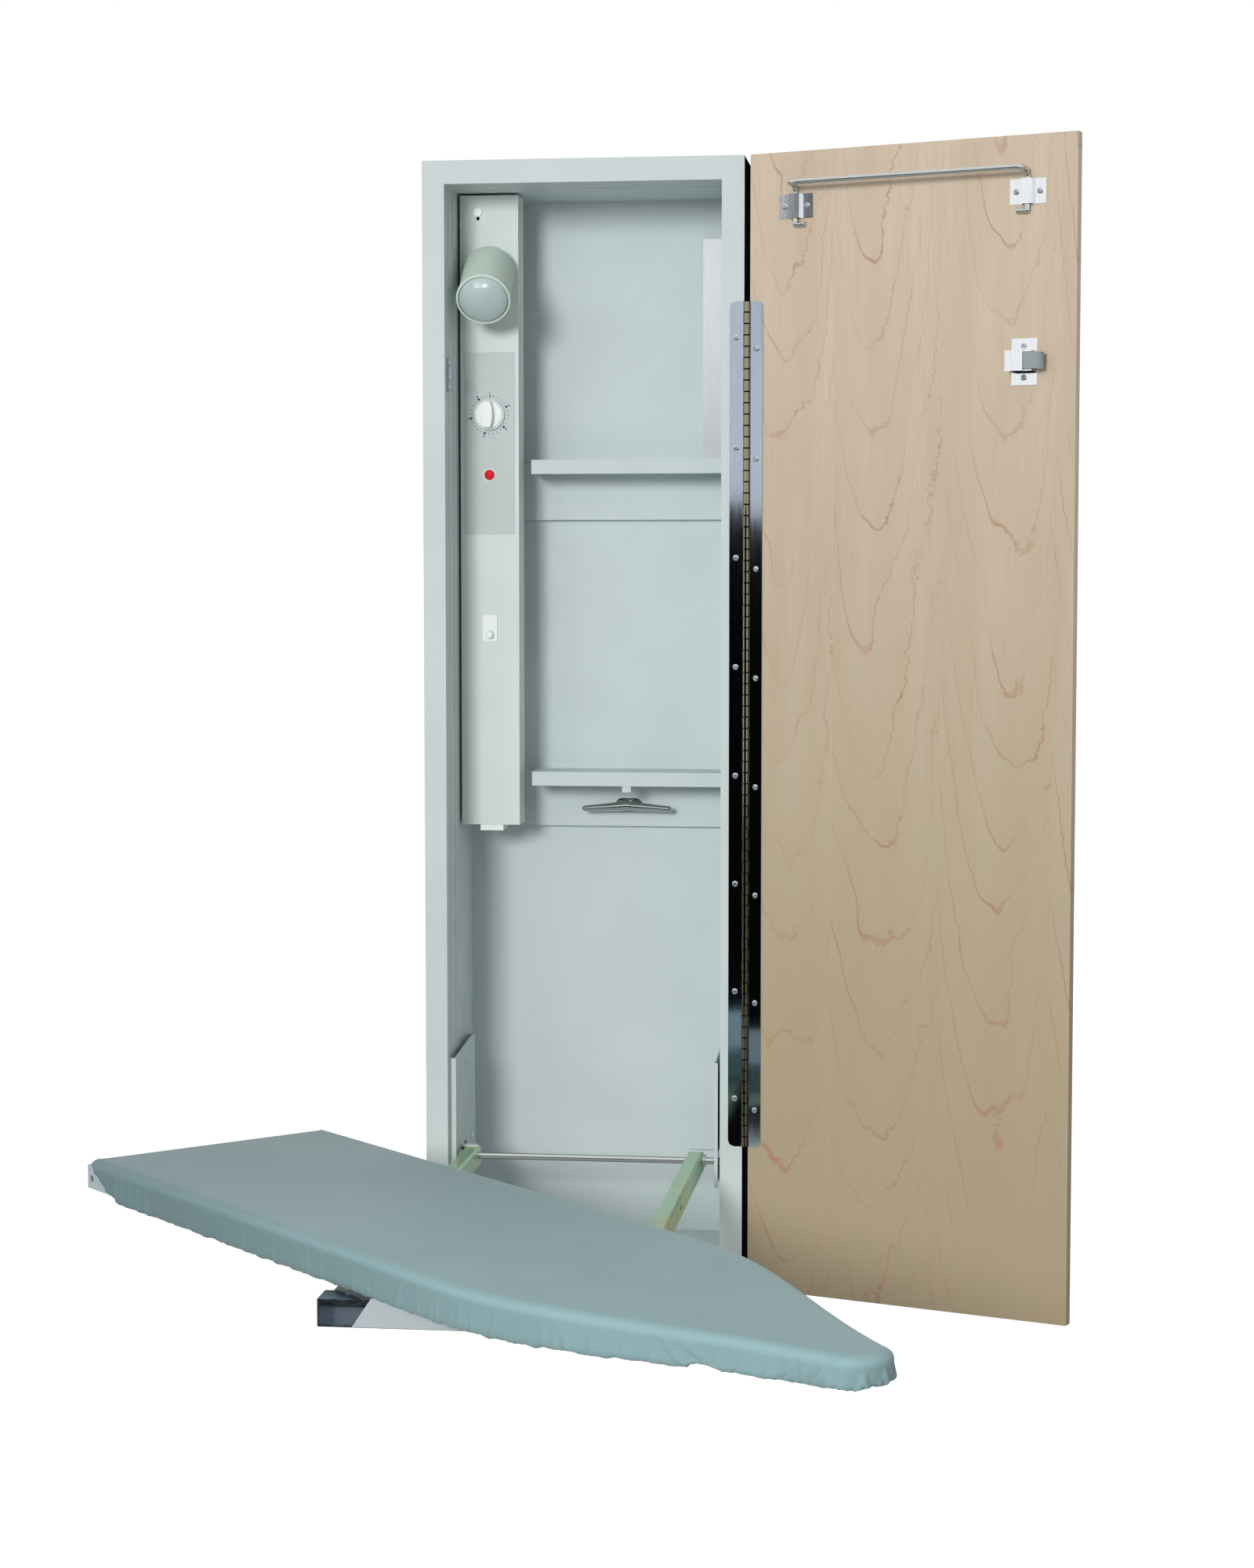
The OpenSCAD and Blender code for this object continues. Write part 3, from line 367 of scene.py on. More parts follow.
# %% Mirror and mouldings
def mirror():
    """Silvered on the broad faces; the ground edges are dark green glass."""
    silver, edge = (0.87, 0.90, 0.89), (0.035, 0.04, 0.03)
    f = Finish("silvered_mirror", silver, Specular_IOR_Level=0.3)
    dust = f.noise(f.place(), 300, 3, 0.7)
    facing = f.node("TexCoord", output="Normal")
    straight = (math.sin(DOOR_TURN), math.cos(DOOR_TURN), 0)
    along = f.node("VectorMath", {"operation": "DOT_PRODUCT"}, facing, straight, output="Value")
    broad = along.size() > 0.9
    f.set("Base Color", f.mix(broad, edge, silver))
    f.set("Metallic", broad)
    f.set("Roughness", f.step(dust, 0.62, 0.8) * 0.12 + 0.015 + (1 - broad) * 0.4)
    return f.material

def moulded(name, colour, blur, **more):
    f = Finish(name, colour, **more)
    p = f.place()
    slow, fine = f.noise(p, 60, 2), f.noise(p, 1500, 2)
    f.set("Base Color", f.mix(slow * 0.5, colour, tuple(c * 0.92 for c in colour)))
    f.set("Roughness", fine * 0.08 + blur)
    f.set("Normal", f.bump(slow + fine * 0.08, 0.00006, 0.35))
    return f.material

finishes.update({
    "mirror_glass": mirror(),
    "white_plastic": moulded("white_moulding", paint(247, 252, 249), 0.2,
                             Coat_Weight=0.3, Coat_Roughness=0.08),
    "black_plastic": moulded("black_moulding", (0.02, 0.02, 0.021), 0.45),
    "roller_grey": moulded("grey_roller", paint(150, 158, 160), 0.4),
    "frosted_glass": moulded("frosted_bulb", paint(180, 196, 197), 0.35,
                             Coat_Weight=1.0, Coat_Roughness=0.16),
    "red_lens": moulded("red_pilot_lens", (0.85, 0.004, 0.02), 0.12,
                        Coat_Weight=0.5, Coat_Roughness=0.05, Specular_IOR_Level=0.3),
})
print("finishes so far:", len(finishes))

# %% [markdown]
# ## The control label
# A thin grey plate covers the front of the control box. It carries only the timer's plain dial:
# a circle of short strokes round the knob, with a dot and a dash at every 65 degrees. They could
# be modelled as thin solids, but printed marks have no thickness. So they are worked out from
# the angle and the distance to the knob's centre, and stay sharp from any distance.

# %% The label with its dial strokes
DIAL = at(61.5, 92, 282)  # the knob's centre on the plate
DIAL_STEP, STROKES = 65, 5  # degrees from one dot to the next, and the short strokes on that way

def dial_label():
    f = Finish("dial_label", Specular_IOR_Level=0.35)
    p = f.place()
    x, y, z = f.axes(p)
    dx, dz = (x - DIAL.x) * 1000, (z - DIAL.z) * 1000
    away = (dx * dx + dz * dz).root()
    turn = (dx.calc("ARCTAN2", dz) / (2 * math.pi) + 1).part() * (360 / DIAL_STEP)

    def strokes(each, half, inner, outer):
        """Marks, so many to a step: half a mark's width, and its inner and outer radius in mm."""
        step_angle = DIAL_STEP / 360 * 2 * math.pi
        beside = ((turn * each + 0.5).part() - 0.5).size() * away / each * step_angle
        return (beside < half) * (away > inner) * (away < outer)

    short, dots = strokes(STROKES, 0.4, 21.2, 22.8), strokes(1, 1.3, 20.8, 23.4)
    dashes = strokes(1, 0.65, 24.4, 26.8)
    speck = f.noise(p, 700, 2)
    face = f.mix(f.noise(p, 14, 2), paint(200, 211, 209), paint(194, 206, 204))
    f.set("Base Color", f.mix(short | dots | dashes, face, paint(78, 30, 92)))
    f.set("Roughness", speck * 0.1 + 0.42)
    f.set("Normal", f.bump(speck, 0.00001, 0.3))
    return f.material

finishes["label_grey"] = dial_label()
print("dial marks stand", DIAL_STEP // STROKES, "and", DIAL_STEP, "degrees apart")

# %% [markdown]
# ## Give every metal and wooden part its finish
# The construction model says which stock each part is made of. Most parts simply take that
# stock's finish. Some look different in the picture though they are of one stock: the control
# box and the lamp are a lighter white than the cabinet, the rods are duller than the clips, and
# the channel and the strike are a darker chrome, painted shade for the dark that they mirror.
# These are named apart.

# %% Finish the construction parts
stock = {s["node"]: s["material_slot"] for s in frame["record"]["subparts"]}
own_finish = {"control_box": "box_enamel", "lamp_shade": "lamp_enamel", "lamp_base": "box_enamel",
              "board_deck": "corner_plate", "heat_shield": "bright_zinc",
              "garment_bar": "bar_chrome", "cord_cleat": "bar_chrome", "cross_rod": "bar_chrome",
              "front_channel": "dark_chrome", "catch_strike": "dark_chrome"}

for name, part in frame["nodes"].items():
    wanted = own_finish.get(name, stock[name])
    part.data.materials.clear()
    # the felt and the cover are made again further down, so enamel stands in for them here
    part.data.materials.append(finishes.get(wanted, finishes["enamel"]))
print("parts finished:", len(frame["nodes"]))

# %% [markdown]
# ## The board's outline
# Everything soft on the board follows one outline: two straight sides, a long taper and a
# rounded nose. It is made as a closed loop of evenly spaced points, and each point keeps its
# outward direction, so that the same loop can be pushed out or in for the felt, the cloth, its
# hem and its gathers. A curve object could give the outline too, but its points crowd in the
# bends, and the gathers need even ones. The board stands turned on its bolt, so a last step
# turns the points.

# %% The board's sizes, in millimetres from the bolt
BACK, LENGTH, HALF = 560, 1099, 147.5  # bolt to square end, whole length, half the width
STRAIGHT, NOSE_HALF, NOSE_LEN = 680, 30, 22  # straight part of the sides, and the round nose
CORNER, CORNER_CUT = 9, 2.6  # the square end's rounded corners
BOLT, TURN = at(184, -599, 0), math.radians(-46)

def on_board(a, s, down):
    """A point in the board's own millimetres, along and across, in the model frame."""
    return Vector((BOLT.x + (a * math.cos(TURN) - s * math.sin(TURN)) / 1000,
                   BOLT.y + (a * math.sin(TURN) + s * math.cos(TURN)) / 1000,
                   (ZERO_DOWN - down) / 1000))

def taper(t):
    return 0.25 * (1 + math.cos(math.pi * t)) + 0.5 * (1 - t ** 1.8)

def half_outline():
    """One side of the board, from the middle of the square end to the tip of the nose."""
    side = [(-BACK, 0), (-BACK, HALF - CORNER), (-BACK + CORNER_CUT, HALF - CORNER_CUT),
            (-BACK + CORNER, HALF)]
    for i in range(25):
        t = i / 24
        side.append((-BACK + STRAIGHT + t * (LENGTH - NOSE_LEN - STRAIGHT),
                     NOSE_HALF + (HALF - NOSE_HALF) * taper(t)))
    for i in range(1, 13):
        a = math.pi / 2 * i / 12
        side.append((-BACK + LENGTH - NOSE_LEN + NOSE_LEN * math.sin(a), NOSE_HALF * math.cos(a)))
    return side

print("points on one side of the outline:", len(half_outline()))

# %% The loop round the board
def loop(step):
    """Evenly spaced points round the board: (along, across, out_along, out_across, walked)."""
    half = half_outline()
    corners = [Vector(p) for p in half] + [Vector((a, -b)) for a, b in reversed(half[1:-1])]
    count = len(corners)
    lengths = [(corners[(i + 1) % count] - corners[i]).length for i in range(count)]
    total = sum(lengths)
    steps = int(total / step)
    points, i, gone = [], 0, 0.0
    for k in range(steps):
        walked = k * total / steps
        while gone + lengths[i] < walked:
            gone += lengths[i]
            i += 1
        points.append(corners[i].lerp(corners[(i + 1) % count], (walked - gone) / lengths[i]))
    ring = []
    for k, p in enumerate(points):
        along = (points[(k + 1) % steps] - points[k - 1]).normalized()
        ring.append((p.x, p.y, -along.y, along.x, k * total / steps))
    return ring, total

print("way round the board: %.0f mm" % loop(4)[1])

# %% [markdown]
# ## A lofted skin
# The felt and the cover are both skins stretched between rings that follow the loop. One
# helper joins ring to ring with quads and closes the last ring with a single flat face, which
# is what the middle of an ironing board is.

# %% Join rings into a skin
def skin(name, rings, finish, close_bottom=False):
    mesh = bpy.data.meshes.new(name)
    bm = bmesh.new()
    rows = [[bm.verts.new(p) for p in ring] for ring in rings]
    n = len(rows[0])
    for low, high in zip(rows, rows[1:]):
        for k in range(n):
            bm.faces.new((low[k], low[(k + 1) % n], high[(k + 1) % n], high[k]))
    bm.faces.new(rows[-1])
    if close_bottom:
        bm.faces.new(list(reversed(rows[0])))
    bmesh.ops.remove_doubles(bm, verts=bm.verts, dist=1e-5)
    bmesh.ops.recalc_face_normals(bm, faces=bm.faces)
    bm.to_mesh(mesh)
    bm.free()
    mesh.materials.append(finish)
    for face in mesh.polygons:
        face.use_smooth = True
    piece = bpy.data.objects.new(name, mesh)
    bpy.context.collection.objects.link(piece)
    print(name, "has", len(mesh.vertices), "points")
    return piece

print("skin helper ready")

# %% [markdown]
# ## The felt
# A thin felt lies between the steel and the cloth. Only a sliver shows at the square end, but
# it decides how soft the cloth's edge looks. Its rim is rounded over like a cut blanket, and
# the surface is a matted tangle of fibres, so a fine and a coarse noise are mixed. Hair could
# be grown on it, but on so small a sliver a bump does as well. At the near corner of the square
# end the cover has slipped in and leaves the steel bare, and the felt draws back there too.

# %% What the felt looks like
def felt_finish():
    f = Finish("felt", Sheen_Weight=0.4, Sheen_Roughness=0.5, Specular_IOR_Level=0.1)
    p = f.place()
    fibre, tuft = f.noise(p, 1800, 4, 0.7), f.noise(p, 260, 3)
    f.set("Base Color", f.mix(tuft, paint(226, 222, 208), paint(198, 192, 176)))
    f.set("Roughness", fibre * 0.1 + 0.86)
    f.set("Normal", f.bump(fibre + tuft, 0.0004, 0.7))
    return f.material

finishes["felt"] = felt_finish()
print("felt ready")

# %% Make the felt
DECK_TOP = 1101  # the steel's top, in mm down from the cabinet's top edge
FELT_RIM = [(-4, 0.4), (-1.3, 0.8), (-1.1, 1.4), (-3.0, 2.8), (-7.5, 4.4), (-13, 5.0)]  # out, up

def bare_corner(a, s):
    """How far the cover is lifted and slipped in: 1 at the bare corner, 0 from 18 mm off."""
    t = max(0.0, 1 - math.hypot(a + BACK, s + HALF) / 18)
    return min(1.0, 2 * t), max(0.0, min(1.0, 2.2 * t - 0.6))

def felt():
    ring, rings = loop(9)[0], []
    for out, up in FELT_RIM:
        points = []
        for a, s, out_a, out_s, walked in ring:
            away = out - 7 * bare_corner(a, s)[1]
            points.append(on_board(a + away * out_a, s + away * out_s, DECK_TOP - up))
        rings.append(points)
    return skin("board_felt", rings, finishes["felt"], close_bottom=True)

pad = felt()
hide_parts("board_pad")
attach(pad, "board")

# %% [markdown]
# ## The cover's cloth
# The cover is a smooth coated cotton in a quiet grey-blue. Close up it is a plain weave, about
# two threads to the millimetre, running with the board. Two crossed sine waves make it, which
# is lighter work than modelled threads and as true at this size. The coating gives a faint
# sheen and slightly darker, uneven patches where the iron has pressed it. Painted shade darkens
# the cloth towards the square end, and most on the skirt.

# %% Cloth with its weave
THREADS = 0.0011  # in metres: one pair of threads
SKIRT_SHADE_FROM, SKIRT_SHADE_TO = -0.9465, -0.957  # heights between which the skirt's painted shade sets in

def cover_cloth():
    f = Finish("coated_cotton", Sheen_Weight=0.18, Sheen_Roughness=0.4, Specular_IOR_Level=0.3)
    turned = f.turned(BOLT, -TURN)
    a, s, z = f.axes(turned)
    warp = (a * 2 * math.pi / THREADS).sine()
    weft = ((s + z) * 2 * math.pi / THREADS).sine()
    patch, slub = f.noise(turned, 7, 4, 0.6), f.noise(f.stretch(turned, (1, 9, 9)), 90, 2)
    mottle = f.noise(turned, 420, 3, 0.7)
    from_bolt = a - BOLT.x
    cloth = f.mix(f.step(patch, 0.3, 0.75), paint(163, 198, 202), paint(155, 189, 194))
    cloth = f.mix(mottle * 0.22 + slub * 0.1, cloth, paint(128, 162, 167))
    # painted shade: the cloth turns darker towards the square end
    cloth = f.mix(f.step(from_bolt, 0.35, -0.6) * 0.95, cloth, paint(114, 141, 146))
    # painted shade on the skirt, deepest towards the square end
    skirt = f.step(z, SKIRT_SHADE_FROM, SKIRT_SHADE_TO) * (f.step(from_bolt, 0.4, -0.3) * 0.3 + 0.7)
    f.set("Base Color", f.mix(skirt * 0.6, cloth, paint(98, 121, 124)))
    f.set("Roughness", patch * 0.12 + 0.52)
    f.set("Normal", f.bump(warp * weft * 0.4 + slub * 0.5, 0.00008, 0.4))
    return f.material

finishes["cover_cloth"] = cover_cloth()
print("weave pitch", round(THREADS * 1000, 1), "mm for a pair of threads")

# %% [markdown]
# ## The cover's gathers
# A cord in the hem pulls the cloth under the steel. Where the edge is straight the cloth lies
# nearly smooth, and where it turns a corner or the nose there is too much cloth, so it folds
# into gathers. A cloth simulation would lay them anew with every change, so they are placed
# one by one. A gather starts sharp at the hem and fades out before the top edge, leaning a
# little to one side. Most come from a seeded random draw, so they are the same on each run, and
# closer together near the nose and the corners. Those that catch the eye in the picture are
# listed.

# %% Place the gathers
# on the near side: place along the board, width, height, lean and fade
NAMED_GATHERS = [
    (388, 3.6, 2.6, 26, 0.8), (412, 4.2, 3.6, 34, 0.7), (473, 4.0, 3.4, -24, 0.6),
    (484, 3.4, 3.0, -22, 0.6), (503, 3.6, 3.4, -10, 0.6), (-484, 3.0, 3.6, 8, 0.5),
    (-471, 3.2, 3.8, 9, 0.5), (-455, 3.2, 3.5, 9, 0.6), (-440, 3.0, 2.9, 7, 0.8),
    (-419, 3.8, 3.0, 7, 0.8), (-221, 3.4, 1.4, 4, 1.4), (-97, 3.4, 1.4, 5, 1.4),
    (59, 3.6, 1.6, -6, 1.2), (153, 3.4, 1.8, -8, 1.2), (196, 3.4, 1.9, -8, 1.1),
    (278, 3.6, 1.6, 10, 1.2)]
NAMED_HEIGHT = 1.6  # the listed heights are multiplied by this, so that they catch the light

def near_turn(a):
    """0 along the straight sides, up to 1 at the nose and at the square end's corners."""
    nose = max(0.0, 1 - (LENGTH - BACK - a) / 150)
    square = max(0.0, 1 - (a + BACK) / 80)
    return min(1.0, max(nose, square))

def draw_gathers(ring, total, seed=7):
    """Each gather as (where on the loop, width, height, lean, fade)."""
    draw = random.Random(seed)
    here, drawn = 0.0, []
    while here < total - 6:
        turn = near_turn(ring[int(here / total * len(ring)) % len(ring)][0])
        here += (1 - turn) * draw.uniform(10, 38) + turn * draw.uniform(8, 15)
        drawn.append((here, draw.uniform(2.2, 3.8), draw.uniform(0.9, 2.4) + 1.9 * turn,
                      draw.uniform(-9, 9) * (0.5 + turn), draw.uniform(1.0, 2.2) - 0.5 * turn))
    near_side = [p for p in ring if p[1] < 0 and p[0] > -BACK + CORNER]
    for along, wide, high, lean, fade in NAMED_GATHERS:
        where = min((abs(p[0] - along), p[4]) for p in near_side)[1]
        drawn.append((where, wide, NAMED_HEIGHT * high, lean, fade))
    return drawn

cover_ring, cover_total = loop(2)
gathers = draw_gathers(cover_ring, cover_total)
print("gathers:", len(gathers))

# %% [markdown]
# ## How the hem and the folds lie
# The steel's apron gets shallower towards the nose, and the hem rises with it. At one corner of
# the square end the skirt is pulled up and leaves the steel bare, and on the long taper the hem
# has caught a little higher for a few centimetres. Each gather pushes the skirt out along a
# narrow bell curve with a dip beside it, as a real fold has.

# %% Hem and folds, in millimetres
SKIRT, ROLL = 39.5, 8.6  # how far down the hem and the lower end of the rolled edge lie
CAUGHT_AT, CAUGHT_WIDE, CAUGHT_HIGH = 400, 13, 4.0  # where the hem has caught
BARE_SIDE, BARE_SIDE_SLOPE = 66, 50  # how far the hem stays up along the side, and its slope
BARE_END, BARE_END_SLOPE = 34, 22  # the same across the square end
NOSE_SLOPE = 340  # the apron gets shallower over this length before the tip

def from_nose(a):
    """0 on most of the board, growing to 1 at the tip of the nose, where the apron is shallow."""
    return max(0.0, (a - (LENGTH - BACK) + NOSE_SLOPE) / NOSE_SLOPE)

def hem_rise(a, s):
    """How far the hem is pulled up: at the bare corner, towards the nose, and where it caught."""
    full = SKIRT - 9.5
    if a <= -BACK + CORNER and s <= 0:
        return min(full, max(0.0, (BARE_END - (s + HALF)) / BARE_END_SLOPE * full))
    caught = corner = 0.0
    if s < 0:
        caught = CAUGHT_HIGH * math.exp(-((a - CAUGHT_AT) / CAUGHT_WIDE) ** 4)
        corner = min(full, max(0.0, (BARE_SIDE - a - BACK) / BARE_SIDE_SLOPE * full))
    return max(caught, corner) + 11 * from_nose(a)

def fold(walked, low, total):
    """How far the cloth stands out at a place on the skirt; low is 0 at the top, 1 at the hem."""
    out = 0.25 * low * (math.sin(walked / 19.0) + math.sin(walked / 31.0 + 1.3))
    for where, wide, high, lean, fade in gathers:
        d = walked - where - lean * (1 - low)
        d -= total * round(d / total)
        if abs(d) < 4 * wide:
            rise = math.exp(-(d / wide) ** 2)
            dip = math.exp(-((d - 1.6 * wide) / (0.7 * wide)) ** 2)
            out += high * low ** fade * (rise - 0.6 * dip)
    return out

print("hem pulled up at the bare corner by", hem_rise(-BACK, -HALF), "mm")

# %% [markdown]
# ## Stretch the cover
# The skin starts at the turned-in hem under the steel's edge, goes up the skirt, rolls over the
# felt's soft rim and runs a short way in over the top. It is kept clear of the steel everywhere,
# and gets its thickness from a modifier, so only its outer side has to be laid out.

# %% Rings of the skirt
COVER_TOP = 1094.9  # the cloth's top, in mm down from the cabinet's top edge
SKIRT_OUT = 1.3  # how far the skirt stands off the steel's outline
APRON, APRON_AT_NOSE = 31.6, 8.2  # how far the steel reaches down, and how much less at the nose
# down the skirt and in under the steel: how far down, how far out
SKIRT_LINE = [(8.6, 1.3), (12, 1.3), (16, 1.3), (20, 1.3), (24, 1.3), (28, 1.3), (31, 1.2),
              (33.5, 0.8), (35.6, 0.0), (37.4, -1.4), (38.8, -3.4), (39.5, -6.0), (39.0, -10.0)]

wobble = random.Random(3)
ragged = [wobble.uniform(-1, 1) for _ in cover_ring]
hem_wave = [sum(ragged[(k + j) % len(cover_ring)] for j in range(-2, 3)) / 2.2
            for k in range(len(cover_ring))]

def skirt_ring(depth, out):
    low = (min(depth, SKIRT) - ROLL) / (SKIRT - ROLL)
    points = []
    for k, (a, s, out_a, out_s, walked) in enumerate(cover_ring):
        moved = fold(walked, low, cover_total)
        hem = SKIRT - hem_rise(a, s) + 0.8 * hem_wave[k] - 0.4 * max(0.0, moved)
        down = ROLL + (depth - ROLL) * (hem - ROLL) / (SKIRT - ROLL)
        over_steel = down < APRON - APRON_AT_NOSE * from_nose(a)
        away = max(0.9, SKIRT_OUT + moved) if over_steel else out + max(-2.5, moved)
        up, inwards = bare_corner(a, s)
        down += up * (0.9 - down)
        away += inwards * (-9 - 0.05 * depth - away)
        points.append(on_board(a + away * out_a, s + away * out_s, COVER_TOP + down))
    return points

print("rings on the skirt:", len(SKIRT_LINE))

# %% Make the cover
ROLL_STEPS, ROLL_IN, TOP_IN = 8, 13.3, -15  # how far in the roll and the last ring go, in mm

def inset(a, s, out_a, out_s, g):
    """The loop moved in by -g, kept clear of itself in the square end's corners."""
    a, s = a + g * out_a, s + g * out_s
    return max(a, -BACK - g), max(-HALF - g, min(HALF + g, s))

def roll_ring(i):
    t = math.pi / 2 * i / ROLL_STEPS
    g, lift = SKIRT_OUT - ROLL_IN * (1 - math.cos(t)), ROLL * (1 - math.sin(t))
    points = []
    for a, s, out_a, out_s, walked in cover_ring:
        up, inwards = bare_corner(a, s)
        moved_in = g + inwards * (min(g, -11 - 0.2 * i) - g)
        down = COVER_TOP + lift + up * (0.1 * lift - lift)
        points.append(on_board(*inset(a, s, out_a, out_s, moved_in), down))
    return points

rows = [skirt_ring(depth, out) for depth, out in reversed(SKIRT_LINE)]
rows += [roll_ring(i) for i in range(1, ROLL_STEPS + 1)]
rows.append([on_board(*inset(*place[:4], TOP_IN), COVER_TOP) for place in cover_ring])

cloth = skin("board_cover_cloth", rows, finishes["cover_cloth"])
thick = cloth.modifiers.new("cloth_thickness", "SOLIDIFY")
thick.thickness, thick.offset = 0.0005, -1
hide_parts("board_cover")
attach(cloth, "board")

# %% [markdown]
# The cover was cut flat to the board's outline, with a border all round for the skirt and the
# turned-in hem. The area is measured on the finished skin.

# %% [markdown]
# ## Crossed screw heads
# The pan-head screws on the clips, hinge and brackets each have a crossed recess. The
# construction model has their plain heads. The cross could be cut out of each with a boolean,
# but that leaves ragged faces on a dome. So a small domed grid is pressed in where the cross is,
# and one such head is set in place of each plain one, turned a little differently each time, as
# a driver leaves them.

# %% One head, pressed from a grid
CROSS_HALF, CROSS_REACH = 0.14, 0.58  # half width and reach of the cross, as parts of the radius

def head_mesh(radius, rise, cells=20):
    """A domed head with a crossed recess, its rim turned down to the seat: points in mm, faces."""
    points, faces, index = [], [], {}
    for i in range(cells + 1):
        for j in range(cells + 1):
            x, y = 2 * i / cells - 1, 2 * j / cells - 1
            x, y = x * math.sqrt(1 - y * y / 2), y * math.sqrt(1 - x * x / 2)
            r = min(1.0, math.hypot(x, y))
            height = rise * math.sqrt(max(0.0, 1 - 0.9 * r * r))
            thin, long = sorted((abs(x), abs(y)))
            if thin < CROSS_HALF and long < CROSS_REACH:
                height -= 0.75 * rise * (1 - 0.8 * long)
            index[i, j] = len(points)
            points.append((x * radius, y * radius, height))
    for i in range(cells):
        for j in range(cells):
            faces.append((index[i, j], index[i + 1, j], index[i + 1, j + 1], index[i, j + 1]))
    rim = ([index[i, 0] for i in range(cells)]
           + [index[cells, j] for j in range(cells)]
           + [index[i, cells] for i in range(cells, 0, -1)]
           + [index[0, j] for j in range(cells, 0, -1)])
    seat = [len(points) + k for k in range(len(rim))]
    points += [(points[k][0], points[k][1], -0.3) for k in rim]
    for k in range(len(rim)):
        nxt = (k + 1) % len(rim)
        faces.append((rim[k], seat[k], seat[nxt], rim[nxt]))
    faces.append(tuple(reversed(seat)))
    return points, faces

print("points in one head:", len(head_mesh(4, 1)[0]))

# %% Where the plain heads are, from their own solids
def islands(node):
    """The points of each separate solid in a part, in model metres."""
    bm = bmesh.new()
    bm.from_mesh(frame["nodes"][node].data)
    bmesh.ops.remove_doubles(bm, verts=bm.verts, dist=1e-6)
    found, seen = [], set()
    for start in bm.verts:
        if start in seen:
            continue
        seen.add(start)
        stack, group = [start], []
        while stack:
            v = stack.pop()
            group.append(v.co.copy())
            for other in (e.other_vert(v) for e in v.link_edges):
                if other not in seen:
                    seen.add(other)
                    stack.append(other)
        found.append(group)
    bm.free()
    return found

print("plain heads in door_screws:", len(islands("door_screws")))

# %% Set the crossed heads
finishes["screw_zinc"] = plated("screw_zinc", (0.62, 0.69, 0.74), 0.2)

def crossed_heads(node, facing, radius, rise, body):
    """Replaces a part's plain heads. facing gives the way that a head at a place looks."""
    chance = random.Random(len(node))
    base_points, base_faces = head_mesh(radius, rise)
    points, faces = [], []
    for group in islands(node):
        middle = sum(group, Vector()) / len(group)
        normal = Vector(facing(middle)).normalized()
        top = max(p.dot(normal) for p in group)
        place = middle + normal * (top - middle.dot(normal) - rise / 1000)
        spin = Matrix.Rotation(chance.uniform(0, 1.5), 3, "Z")
        pose = normal.to_track_quat("Z", "Y").to_matrix() @ spin
        start = len(points)
        points += [place + pose @ Vector(p) / 1000 for p in base_points]
        faces += [tuple(start + k for k in face) for face in base_faces]
    mesh = bpy.data.meshes.new(node + "_crossed")
    mesh.from_pydata(points, [], faces)
    mesh.materials.append(finishes["screw_zinc"])
    piece = bpy.data.objects.new(node + "_crossed", mesh)
    bpy.context.collection.objects.link(piece)
    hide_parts(node)
    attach(piece, body)
    print(node, "heads:", len(points) // len(base_points))

def to_front(p):
    return 0, -1, 0

def off_door(p):
    return -math.sin(DOOR_TURN), -math.cos(DOOR_TURN), 0

def to_middle(p):
    return (1, 0, 0) if p.x < 0 else (-1, 0, 0)

crossed_heads("hinge_screws_case", to_front, 3.3, 1.2, "cabinet")
crossed_heads("hinge_screws_door", off_door, 3.3, 1.2, "door")
crossed_heads("door_screws", off_door, 3.3, 1.6, "door")
crossed_heads("bracket_screws", to_middle, 4.0, 1.8, "cabinet")
crossed_heads("cleat_screws", to_front, 3.4, 1.6, "cabinet")
crossed_heads("strike_screws", to_middle, 3.0, 1.4, "cabinet")

# %% [markdown]
# ## Floor and background
# The cabinet hangs on a wall with its board at working height, so the floor lies well below it.
# The picture's background is plain white. A white floor and wall lit to that level would also
# flood the object with light. So the world and the floor look bright to the camera, and the
# world to mirror-like metal too, while what lights the object is a softer grey sky.

# %% Floor
FLOOR = -1.85  # in metres

def stage_floor():
    bpy.ops.mesh.primitive_plane_add(size=30, location=(0, 0, FLOOR))
    floor = bpy.context.object
    floor.name = "studio_floor"
    grey = (0.6, 0.6, 0.6)
    f = Finish("studio_floor", grey, Roughness=0.9, Specular_IOR_Level=0.1)
    f.set("Base Color", f.mix(f.noise(f.place(), 0.4, 2), grey, (0.58, 0.58, 0.58)))
    to_camera = f.node("LightPath", output="Is Camera Ray")
    plain, glow = Value(f, f.shader.outputs[0]), f.node("Emission", None, (1, 1, 1), 0.85)
    bright = f.node("AddShader", None, glow, plain)
    blend = f.node("MixShader", None, to_camera, plain, bright)
    f.tree.links.new(blend.out, f.tree.nodes["Material Output"].inputs["Surface"])
    floor.data.materials.append(f.material)
    return floor

floor = stage_floor()
print("floor at", floor.location.z)

# %% World
def studio_world(sky, seen):
    """A white world of one strength where it is seen or mirrored, and another as a light."""
    world = bpy.data.worlds.new("studio")
    bpy.context.scene.world = world
    world.use_nodes = True
    tree = world.node_tree
    path = tree.nodes.new("ShaderNodeLightPath")
    is_seen = path.outputs["Is Camera Ray"]
    for ray in ("Is Transmission Ray", "Is Glossy Ray"):
        either = tree.nodes.new("ShaderNodeMath")
        either.operation = "MAXIMUM"
        tree.links.new(is_seen, either.inputs[0])
        tree.links.new(path.outputs[ray], either.inputs[1])
        is_seen = either.outputs[0]
    level = tree.nodes.new("ShaderNodeMapRange")
    level.inputs["To Min"].default_value, level.inputs["To Max"].default_value = sky, seen
    tree.links.new(is_seen, level.inputs["Value"])
    back = tree.nodes["Background"]
    back.inputs["Color"].default_value = (1, 1, 1, 1)
    tree.links.new(level.outputs[0], back.inputs["Strength"])

studio_world(sky=0.36, seen=1.0)
bpy.context.scene.view_settings.view_transform = "Standard"
print("world:", bpy.context.scene.world.name)

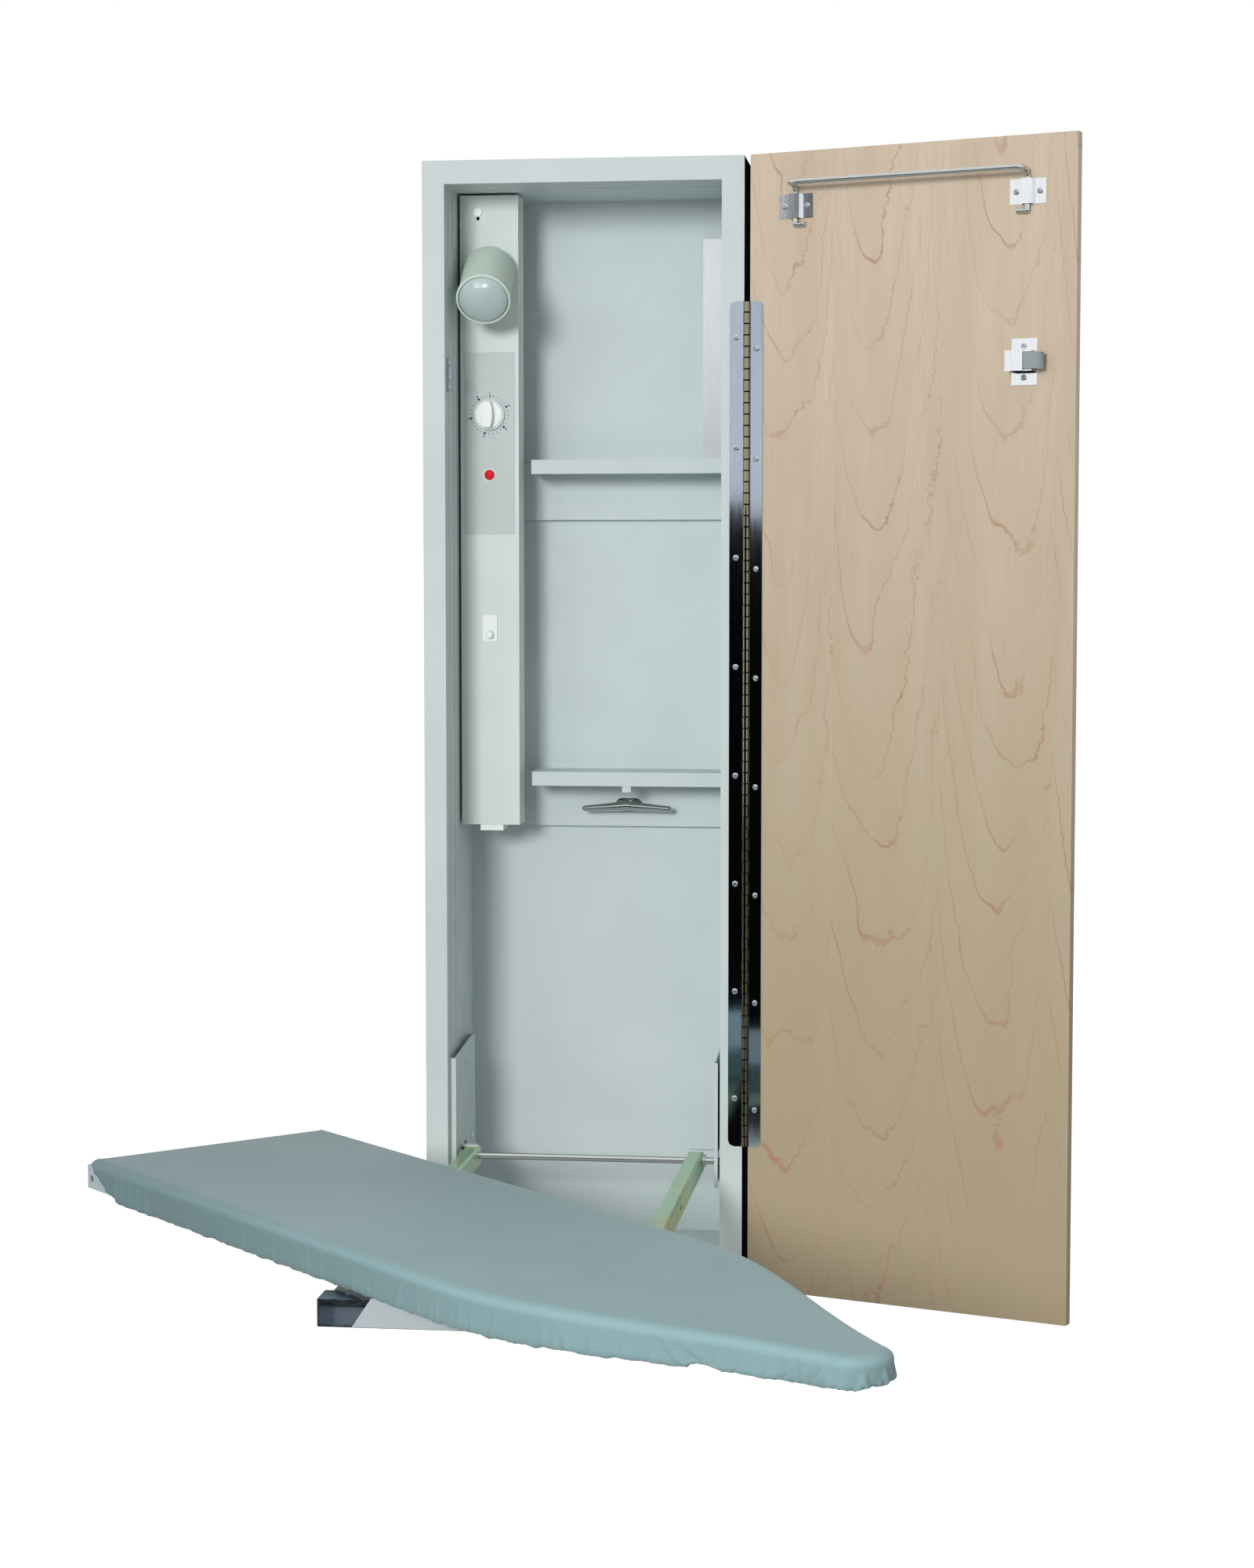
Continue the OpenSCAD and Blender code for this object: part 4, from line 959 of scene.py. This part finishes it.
# %% [markdown]
# ## Lamps
# One broad key lamp in front, a little to the left, gives most of the light. A weak one further
# left and one low by the nose open its shadows, and one behind lights the back. The reflections
# of the lamps would draw discs on the metal, so the front three aren't mirrored. The bulb in the
# picture does show two small highlights. A pair of small lamps makes them, and is linked to the
# bulb alone, so that nothing else picks up a sheen.

# %% Lamps
def lamp(name, place, aim, size, watts):
    data = bpy.data.lights.new(name, "AREA")
    data.shape, data.size, data.energy = "DISK", size, watts
    lamp_object = bpy.data.objects.new(name, data)
    bpy.context.collection.objects.link(lamp_object)
    lamp_object.location = place
    direction = Vector(aim) - Vector(place)
    lamp_object.rotation_euler = direction.to_track_quat("-Z", "Y").to_euler()
    return lamp_object

lamp("key", (-1.25, -6.5, 0.85), (0, -0.2, -0.5), 1.5, 243).visible_glossy = False
bulb_only = bpy.data.collections.new("bulb_only")
bulb_only.objects.link(frame["nodes"]["lamp_bulb"])
for across in (-0.41, -0.06):
    spark = lamp("spark", (across, -1.13, -0.28), (-0.117, -0.17, -0.01), 0.17, 2.4)
    spark.visible_camera = spark.visible_diffuse = False
    spark.light_linking.receiver_collection = bulb_only
lamp("left", (-2.3, -3.6, 0.9), (0, -0.2, -0.5), 1.6, 9).visible_glossy = False
lamp("nose", (1.0, -2.3, -1.3), (0.5, -1.0, -0.97), 0.5, 0.8).visible_glossy = False
lamp("behind", (0.3, 3.0, 1.5), (0, 0, -0.5), 2.5, 20)

# %% [markdown]
# ## Dark cards
# Polished metal shows what stands round it. In the picture the hinge and the channel mirror a
# dark studio in places, so two black cards stand out of sight. The camera, the soft light and
# the shadows pass them by, and only mirror-like metal sees them.

# %% Cards for the reflections
def dark_card(name, x0, x1, y, z0, z1, reach):
    """A card standing from z0 to z1, with a part that lies level and reaches to the back."""
    mesh = bpy.data.meshes.new(name)
    mesh.from_pydata([(x0, y, z0), (x1, y, z0), (x1, y, z1), (x0, y, z1),
                      (x0, y + reach, z0), (x1, y + reach, z0)], [], [(0, 1, 2, 3), (0, 4, 5, 1)])
    card = bpy.data.objects.new(name, mesh)
    bpy.context.collection.objects.link(card)
    black = (0.004, 0.004, 0.004)
    f = Finish("card_black", black, Roughness=1.0, Specular_IOR_Level=0.0)
    f.set("Base Color", f.mix(f.noise(f.place(), 2, 2), black, (0.006, 0.006, 0.006)))
    mesh.materials.append(f.material)
    card.visible_camera = card.visible_diffuse = False
    card.visible_shadow = card.visible_transmission = False
    return card

cards = [dark_card("dark_card", -4.8, 2.6, -4.35, -1.83, -0.12, 0.9),
         dark_card("side_card", -3.25, -2.78, -3.9, 0.35, 1.2, 0.01)]
print("cards:", [card.name for card in cards])
